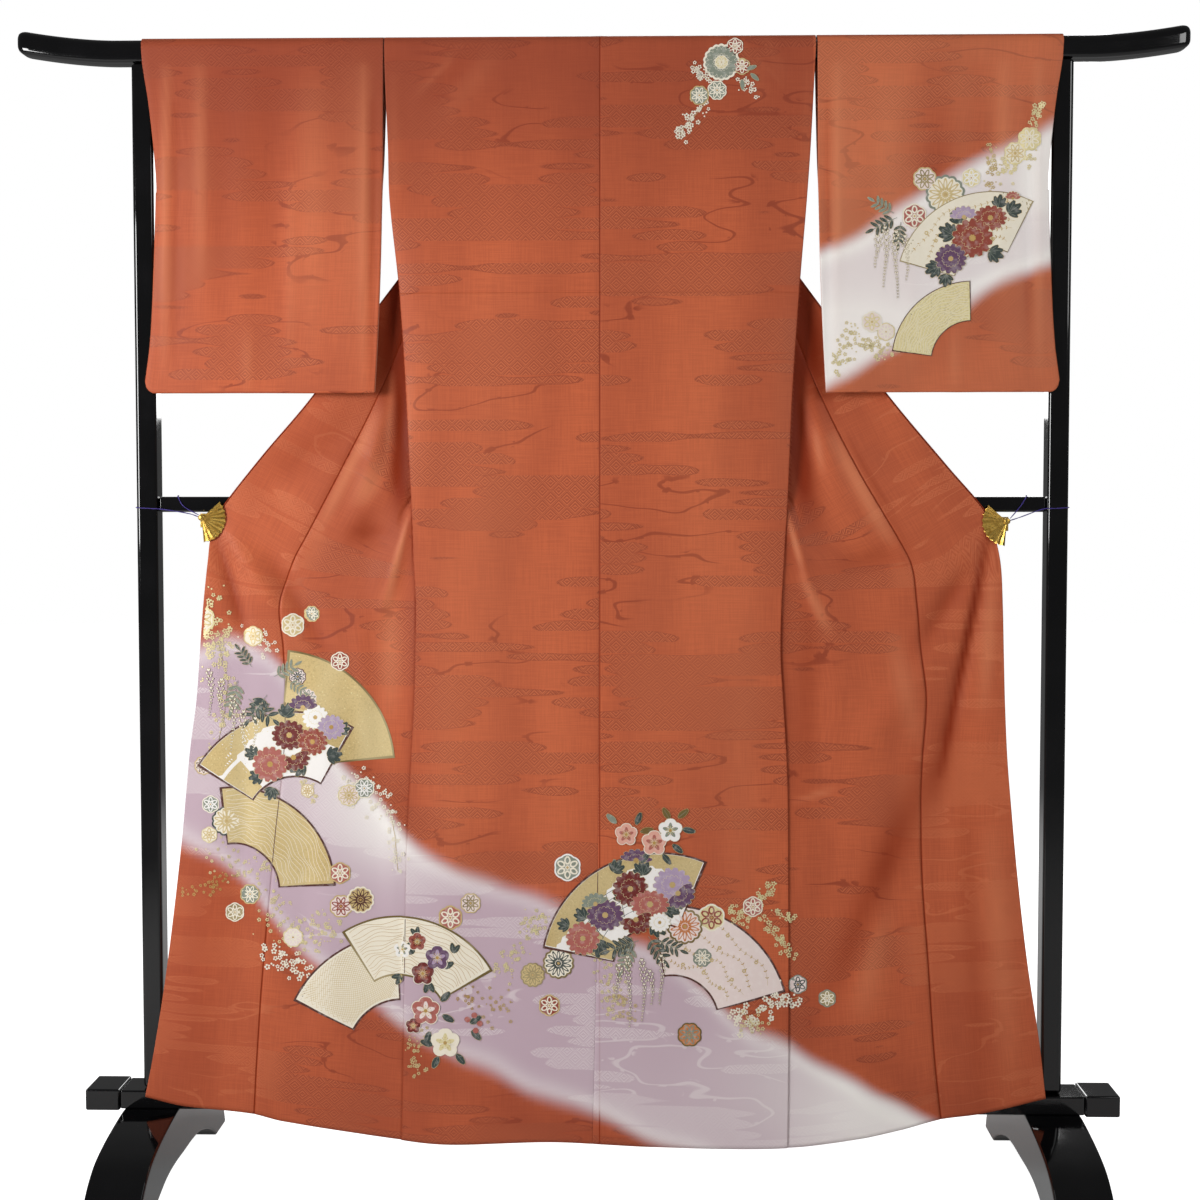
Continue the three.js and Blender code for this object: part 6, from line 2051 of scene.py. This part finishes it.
@dataclass
class Stand:
    """Black lacquered kimono stand: top rail, posts, middle rail, base plank and feet."""
    rail_reach: float = 830
    rail_straight: float = 690
    rail_half_depth: float = 19
    rail_half_height: float = 17
    rail_rise: float = 15
    rail_curl: float = 1.7
    rail_flat: float = 5
    post_x: float = 651
    post_wide: float = 30
    post_deep: float = 36
    mid_low: float = 984
    mid_high: float = 1006
    mid_deep: float = 20
    plank_reach: float = 747
    plank_deep: float = 62
    plank_low: float = 118
    plank_high: float = 145
    cap_long: float = 50
    foot_wide: float = 80

    def finish(self, obj: bpy.types.Object, node: str) -> bpy.types.Object:
        """Dress a stand piece and let it stand for its node."""
        obj.data.materials.append(bpy.data.materials["black_lacquer"])
        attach(obj, "root")
        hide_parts(node)
        log_faces(obj)
        return obj

    def bar(self, name: str, low: Vector, high: Vector, round_by: float) -> bpy.types.Object:
        """Bar between two corners with well rounded long edges.

        Args:
            name: piece name.
            low: lowest corner, in mm.
            high: highest corner, in mm.
            round_by: radius of the edges.

        Returns:
            The new object.
        """
        bm = bmesh.new()
        bmesh.ops.create_cube(bm, size=1.0)
        size = (high - low) * MM
        bmesh.ops.scale(bm, vec=size, verts=bm.verts)
        bmesh.ops.translate(bm, vec=(high + low) / 2 * MM, verts=bm.verts)
        bmesh.ops.bevel(bm, geom=bm.edges[:], offset=round_by * MM, offset_type="OFFSET", segments=4,
                        profile=0.5, affect="EDGES", material=-1)
        bmesh.ops.recalc_face_normals(bm, faces=bm.faces)
        obj = new_object(name, bm)
        self.flatten_shading(obj)
        return obj

    def flatten_shading(self, obj: bpy.types.Object) -> None:
        """Keep the big faces flat between the rounded edges."""
        keep = obj.modifiers.new("Even shading", "WEIGHTED_NORMAL")
        keep.keep_sharp = True
        keep.weight = 100

    def top_rail(self) -> bpy.types.Object:
        """Top rail, rounder above than below, with both ends rising and rounded off."""
        sides = 40
        reach, cap = self.rail_reach, 14.0
        half = [(0.0, 1.0), (350.0, 1.0)]
        half += [(lerp(self.rail_straight, reach - cap, t), 1.0) for t in even(24)]
        half += [(reach - cap * (1 - math.sin(t * math.pi / 2)), math.cos(t * math.pi / 2) ** 0.5)
                 for t in (0.15, 0.3, 0.45, 0.6, 0.75, 0.88, 0.96)]
        line = [(-x, s) for x, s in reversed(half[1:])] + half
        bm = bmesh.new()
        made = bmesh.ops.create_grid(bm, x_segments=len(line) - 1, y_segments=sides, size=0.5)
        for vert in made["verts"]:
            x, scale = line[round((vert.co.x + 0.5) * (len(line) - 1))]
            angle = 2 * math.pi * (vert.co.y + 0.5)
            power = 2 / (DRAPE_ROUND if math.sin(angle) > 0 else self.rail_flat)
            beyond = max(abs(x) - self.rail_straight, 0) / (reach - self.rail_straight)
            rise = self.rail_rise * beyond ** self.rail_curl
            vert.co = Vector((
                x, scale * self.rail_half_depth * signed_power(math.cos(angle), power),
                RAIL_Z + rise + scale * self.rail_half_height * signed_power(math.sin(angle), power))) * MM
        bmesh.ops.remove_doubles(bm, verts=bm.verts, dist=1e-5)
        bmesh.ops.holes_fill(bm, edges=[e for e in bm.edges if e.is_boundary], sides=sides + 1)
        bmesh.ops.recalc_face_normals(bm, faces=bm.faces)
        return self.finish(new_object("stand_rail_finished", bm), "stand_top_rail")

    def foot(self, side: Side) -> bpy.types.Object:
        """Foot: an arched block with a rising back, standing on a pad at each toe."""
        outer: tuple[Row, ...] = ((0, 117.7), (40, 117.7), (98, 110), (140, 102), (178, 91), (205, 76),
                                  (226, 58), (244, 37), (256, 18), (262, 0))
        under: tuple[Row, ...] = ((0, 45), (50, 45), (95, 41), (137, 30), (162, 21), (184, 10), (200, 0))
        count = 80
        bm = bmesh.new()
        made = bmesh.ops.create_grid(bm, x_segments=count, y_segments=10, size=0.5)
        for vert in made["verts"]:
            t = vert.co.x * 2
            share = vert.co.y + 0.5
            top_y, low_y = outer[-1][0] * abs(t), under[-1][0] * abs(t)
            top_z, low_z = along(outer, 1, top_y), along(under, 1, low_y)
            y = math.copysign(lerp(low_y, top_y, share), t)
            inner = side.value * self.post_x - self.foot_wide / 2
            vert.co = Vector((inner, y, lerp(low_z, top_z, share))) * MM
        bmesh.ops.extrude_face_region(bm, geom=bm.faces[:])
        bm.verts.ensure_lookup_table()
        grown = bm.verts[len(made["verts"]):]
        bmesh.ops.translate(bm, vec=(self.foot_wide * MM, 0, 0), verts=grown)
        bmesh.ops.recalc_face_normals(bm, faces=bm.faces)
        sharp = [e for e in bm.edges if len(e.link_faces) == 2 and e.calc_face_angle(0) > 0.9]
        bmesh.ops.bevel(bm, geom=sharp, offset=3 * MM, offset_type="OFFSET", segments=3, profile=0.5,
                        affect="EDGES", material=-1)
        obj = new_object(f"stand_foot_{side.word}_finished", bm)
        self.flatten_shading(obj)
        return self.finish(obj, f"stand_foot_{side.word}")

    def build(self) -> None:
        """Make every piece of the stand."""
        self.top_rail()
        inner = self.post_x - self.post_wide / 2 - 0.3
        self.finish(self.bar("stand_middle_rail_finished", Vector((-inner, -self.mid_deep / 2, self.mid_low)),
                             Vector((inner, self.mid_deep / 2, self.mid_high)), 3.5), "stand_middle_rail")
        reach = self.plank_reach - self.cap_long - 0.3
        self.finish(self.bar("stand_plank_finished", Vector((-reach, -self.plank_deep / 2, self.plank_low)),
                             Vector((reach, self.plank_deep / 2, self.plank_high)), 2.5), "stand_base_plank")
        for side in Side:
            x = side.value * self.post_x
            top = RAIL_Z - self.rail_half_height - 0.3
            post = self.bar(f"stand_post_{side.word}_finished",
                            Vector((x - self.post_wide / 2, -self.post_deep / 2, self.plank_high + 0.3)),
                            Vector((x + self.post_wide / 2, self.post_deep / 2, top)), 5.5)
            self.finish(post, f"stand_post_{side.word}")
            ends = sorted((side.value * self.plank_reach, side.value * (self.plank_reach - self.cap_long)))
            cap = self.bar(f"stand_cap_{side.word}_finished",
                           Vector((ends[0], -self.plank_deep / 2 - 2, self.plank_low - 2)),
                           Vector((ends[1], self.plank_deep / 2 + 2, self.plank_high + 2)), 3)
            self.finish(cap, f"stand_plank_cap_{side.word}")
            self.foot(side)


# ------------------------------------------------------------------ clips and cords

@dataclass
class Clip:
    """Spring clip with a pleated gilt fan, and the cord that ties it to the stand."""
    side: Side
    x: float
    z: float
    inner: float = 3
    outer: float = 35
    ribs: int = 10
    pleat: float = 1.1
    start_deg: float = -86
    end_deg: float = 41
    fan_depth: float = 20.4
    jaw_depth: float = 11.4
    barrel: float = 4.5
    button: float = 4.6
    jaw: tuple[float, float, float] = (46, 1.2, 20)

    def fan(self) -> bpy.types.Object:
        """Fan, barrel and jaw in one piece."""
        bm = bmesh.new()
        count = 4 * self.ribs
        made = bmesh.ops.create_grid(bm, x_segments=count, y_segments=6, size=0.5)
        for vert in made["verts"]:
            t = vert.co.x + 0.5
            radius = lerp(self.inner, self.outer, vert.co.y + 0.5)
            angle = math.radians(lerp(self.start_deg, self.end_deg, t))
            phase = t * self.ribs * 2
            fold = 1 - 2 * abs((phase % 2) - 1)
            depth = self.fan_depth + fold * self.pleat * radius / self.outer
            scallop = 1.2 * abs(math.sin(math.pi * phase / 2)) * smooth(radius, self.outer - 6, self.outer)
            radius -= scallop
            vert.co = Vector((self.x - self.side.value * radius * math.cos(angle), -depth,
                              self.z + radius * math.sin(angle))) * MM
        bmesh.ops.solidify(bm, geom=bm.faces[:], thickness=0.7 * MM)
        long = self.fan_depth - self.jaw_depth + 5
        barrel = bmesh.ops.create_cone(bm, segments=32, radius1=self.barrel * MM, radius2=self.barrel * MM,
                                       depth=long * MM, cap_ends=True)
        turn = Matrix.Rotation(math.pi / 2, 3, "X")
        bmesh.ops.rotate(bm, cent=(0, 0, 0), matrix=turn, verts=barrel["verts"])
        middle = -(self.fan_depth + self.jaw_depth) / 2 - 0.4
        bmesh.ops.translate(bm, vec=(self.x * MM, middle * MM, self.z * MM), verts=barrel["verts"])
        button = bmesh.ops.create_uvsphere(bm, u_segments=24, v_segments=12, radius=self.button * MM)
        bmesh.ops.scale(bm, vec=(1, 0.45, 1), verts=button["verts"])
        front = -(self.fan_depth + 2.2)
        bmesh.ops.translate(bm, vec=(self.x * MM, front * MM, self.z * MM), verts=button["verts"])
        jaw = bmesh.ops.create_cube(bm, size=1.0)
        bmesh.ops.scale(bm, vec=[size * MM for size in self.jaw], verts=jaw["verts"])
        bmesh.ops.translate(bm, vec=((self.x - self.side.value * 19) * MM, -self.jaw_depth * MM,
                                     (self.z - 4) * MM), verts=jaw["verts"])
        edges = dict.fromkeys(e for v in jaw["verts"] for e in v.link_edges)
        bmesh.ops.bevel(bm, geom=list(edges), offset=0.5 * MM, offset_type="OFFSET", segments=2, profile=0.5,
                        affect="EDGES", material=-1)
        bmesh.ops.recalc_face_normals(bm, faces=bm.faces)
        obj = new_object(f"fan_clip_{self.side.word}", bm, shade_smooth=False)
        obj.data.materials.append(bpy.data.materials["gilt_brass"])
        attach(obj, "root")
        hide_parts(f"clip_{self.side.word}")
        log_faces(obj)
        return obj

    def route(self) -> list[Vector]:
        """Points of the cord: from the clip round the post and back over the middle rail."""
        stand = Stand()
        face = stand.post_deep / 2 + 1.4
        post_in = stand.post_x - stand.post_wide / 2 - 1.6
        post_out = stand.post_x + stand.post_wide / 2 + 1.4
        top = stand.mid_high + 1.3
        rail_face = stand.mid_deep / 2 + 1.4
        at = abs(self.x)
        points = ((at + self.barrel + 0.4, 18.5, self.z + 1), (at + 20, 19, self.z + 6),
                  (post_in - 6, face - 0.2, 988), (post_in + 10, face, 989), (post_out - 6, face, 990),
                  (post_out, face - 7, 990.5), (post_out, 7 - face, 991), (post_out - 6, -face, 991.5),
                  (post_in + 8, -face, 994), (post_in - 8, 4 - face, 1000),
                  (post_in - 20, -rail_face, top - 2), (post_in - 24, -6, top), (post_in - 26, 6, top),
                  (post_in - 28, rail_face, top - 3),
                  (post_in - 36, rail_face + 2, 992), (at + self.barrel + 1.4, 15, self.z + 4))
        return [Vector((self.side.value * x, -depth, z)) for x, depth, z in points]

    def cord(self) -> bpy.types.Object:
        """Twisted cord along its route, as two strands."""
        anchors = self.route()
        path: list[Vector] = []
        for i in range(len(anchors) - 1):
            p0, p1 = anchors[max(i - 1, 0)], anchors[i]
            p2, p3 = anchors[i + 1], anchors[min(i + 2, len(anchors) - 1)]
            for k in range(8):
                t = k / 8
                path.append(0.5 * ((2 * p1) + (p2 - p0) * t + (2 * p0 - 5 * p1 + 4 * p2 - p3) * t * t
                                   + (3 * p1 - p0 - 3 * p2 + p3) * t ** 3))
        path.append(anchors[-1])
        bm = bmesh.new()
        layer = bm.loops.layers.uv.new("cord")
        sides = 12
        made = bmesh.ops.create_grid(bm, x_segments=sides, y_segments=len(path) - 1, size=0.5)
        ups: dict[int, tuple[Vector, Vector]] = {}
        flat: dict[bmesh.types.BMVert, Pair] = {}
        for vert in made["verts"]:
            row = round((vert.co.y + 0.5) * (len(path) - 1))
            turn = 2 * math.pi * (vert.co.x + 0.5)
            if row not in ups:
                ahead = (path[min(row + 1, len(path) - 1)] - path[max(row - 1, 0)]).normalized()
                across = ahead.cross(Vector((0.13, 0.21, 1))).normalized()
                ups[row] = (across, ahead.cross(across))
            across, up = ups[row]
            radius = 0.68 + 0.12 * math.cos(2 * (turn - row * 0.5))
            flat[vert] = (turn, row * 0.9)
            vert.co = (path[row] + (across * math.cos(turn) + up * math.sin(turn)) * radius) * MM
        for face in bm.faces:
            for loop in face.loops:
                loop[layer].uv = flat[loop.vert]
        bmesh.ops.remove_doubles(bm, verts=bm.verts, dist=1e-6)
        bmesh.ops.holes_fill(bm, edges=[e for e in bm.edges if e.is_boundary], sides=sides + 1)
        bmesh.ops.recalc_face_normals(bm, faces=bm.faces)
        obj = new_object(f"tie_cord_{self.side.word}", bm)
        obj.data.materials.append(bpy.data.materials["silk_braid"])
        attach(obj, "root")
        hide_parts(f"clip_cord_{self.side.word}")
        log_faces(obj)
        return obj


# ------------------------------------------------------------------ studio

class Lamp(NamedTuple):
    """Square soft lamp: where it is, its size and power, and what it is aimed at."""
    name: str
    place: tuple[float, float, float]
    size: float
    power: float
    aim: tuple[float, float, float] = (0.0, 0.0, 0.95)


LAMPS: tuple[Lamp, ...] = (
    Lamp("key_lamp", (-1.85, -1.6, 1.3), 0.8, 47),
    Lamp("fill_lamp", (2.1, -2.2, 2.1), 1.2, 29, (0.2, 0.0, 1.3)),
    Lamp("top_lamp", (0.0, -0.9, 3.4), 1.2, 5),
    Lamp("rear_lamp", (0.4, 2.8, 2.2), 2.0, 60))


@dataclass
class Studio:
    """Pale floor, soft light from both sides and the camera."""
    aside: float = 0.056
    distance: float = 2.6
    height: float = 0.985
    tilt_deg: float = 2.81
    turn_deg: float = 1.24
    lens: float = 54.2
    floor_radius: float = 14
    floor_gap: float = 0.0006
    floor_dim: float = 0.06
    room_dim: float = 0.12

    def camera(self) -> None:
        """Camera straight in front of the garment's back, a little above its middle."""
        data = bpy.data.cameras.new("camera")
        data.lens = self.lens
        data.sensor_width = 36
        data.clip_end = 100
        obj = bpy.data.objects.new("camera", data)
        bpy.context.collection.objects.link(obj)
        obj.location = (self.aside, -self.distance, self.height)
        obj.rotation_euler = (math.radians(90 - self.tilt_deg), 0, math.radians(self.turn_deg))
        bpy.context.scene.camera = obj

    def glow(self, n: Nodes, dim: float) -> bpy.types.NodeSocket:
        """Strength that is full towards the camera and dim as light on the object."""
        seen = n.add("LightPath").outputs["Is Camera Ray"]
        return n.math("ADD", dim, n.math("MULTIPLY", seen, 1 - dim))

    def floor(self) -> None:
        """Pale floor that fades into the background."""
        bm = bmesh.new()
        bmesh.ops.create_circle(bm, cap_ends=True, segments=96, radius=self.floor_radius)
        bmesh.ops.translate(bm, vec=(0, 0, -self.floor_gap), verts=bm.verts)
        obj = new_object("studio_floor", bm, shade_smooth=False)
        material, n, shader = new_material("pale_floor", (0.6, 0.6, 0.6, 1))
        shader.inputs["Roughness"].default_value = 0.85
        shader.inputs["Emission Color"].default_value = (1, 1, 1, 1)
        n.feed(shader.inputs["Emission Strength"], self.glow(n, self.floor_dim))
        obj.data.materials.append(material)

    def light(self, lamp: Lamp) -> None:
        """Set up one lamp."""
        data = bpy.data.lights.new(lamp.name, "AREA")
        data.shape = "SQUARE"
        data.size = lamp.size
        data.energy = lamp.power
        obj = bpy.data.objects.new(lamp.name, data)
        bpy.context.collection.objects.link(obj)
        obj.location = lamp.place
        obj.rotation_euler = (Vector(lamp.aim) - Vector(lamp.place)).to_track_quat("-Z", "Y").to_euler()

    def build(self) -> None:
        """Camera, floor, lamps and pale surroundings."""
        bpy.context.scene.view_settings.view_transform = "Standard"
        self.camera()
        self.floor()
        for lamp in LAMPS:
            self.light(lamp)
        world = bpy.data.worlds.new("pale_room")
        bpy.context.scene.world = world
        world.use_nodes = True
        n = Nodes(world.node_tree)
        shade = world.node_tree.nodes["Background"]
        shade.inputs["Color"].default_value = (1, 1, 1, 1)
        n.feed(shade.inputs["Strength"], self.glow(n, self.room_dim))


def main() -> None:
    """Build the materials, the studio, the stand, the kimono and its clips."""
    logging.basicConfig(level=logging.INFO, format="%(message)s")
    silk_grain_group()
    mist_group()
    seam_shade_group()
    silk = DyedSilk()
    silk.face()
    silk.back()
    Lacquer().material()
    Gilt().material()
    Braid().material()
    Studio().build()
    Stand().build()
    KIMONO.build()
    Decoration().build()
    for clip in (Clip(Side.LEFT, -571, 976), Clip(Side.RIGHT, 578, 971)):
        clip.fan()
        clip.cord()


if __name__ == "__main__":
    main()
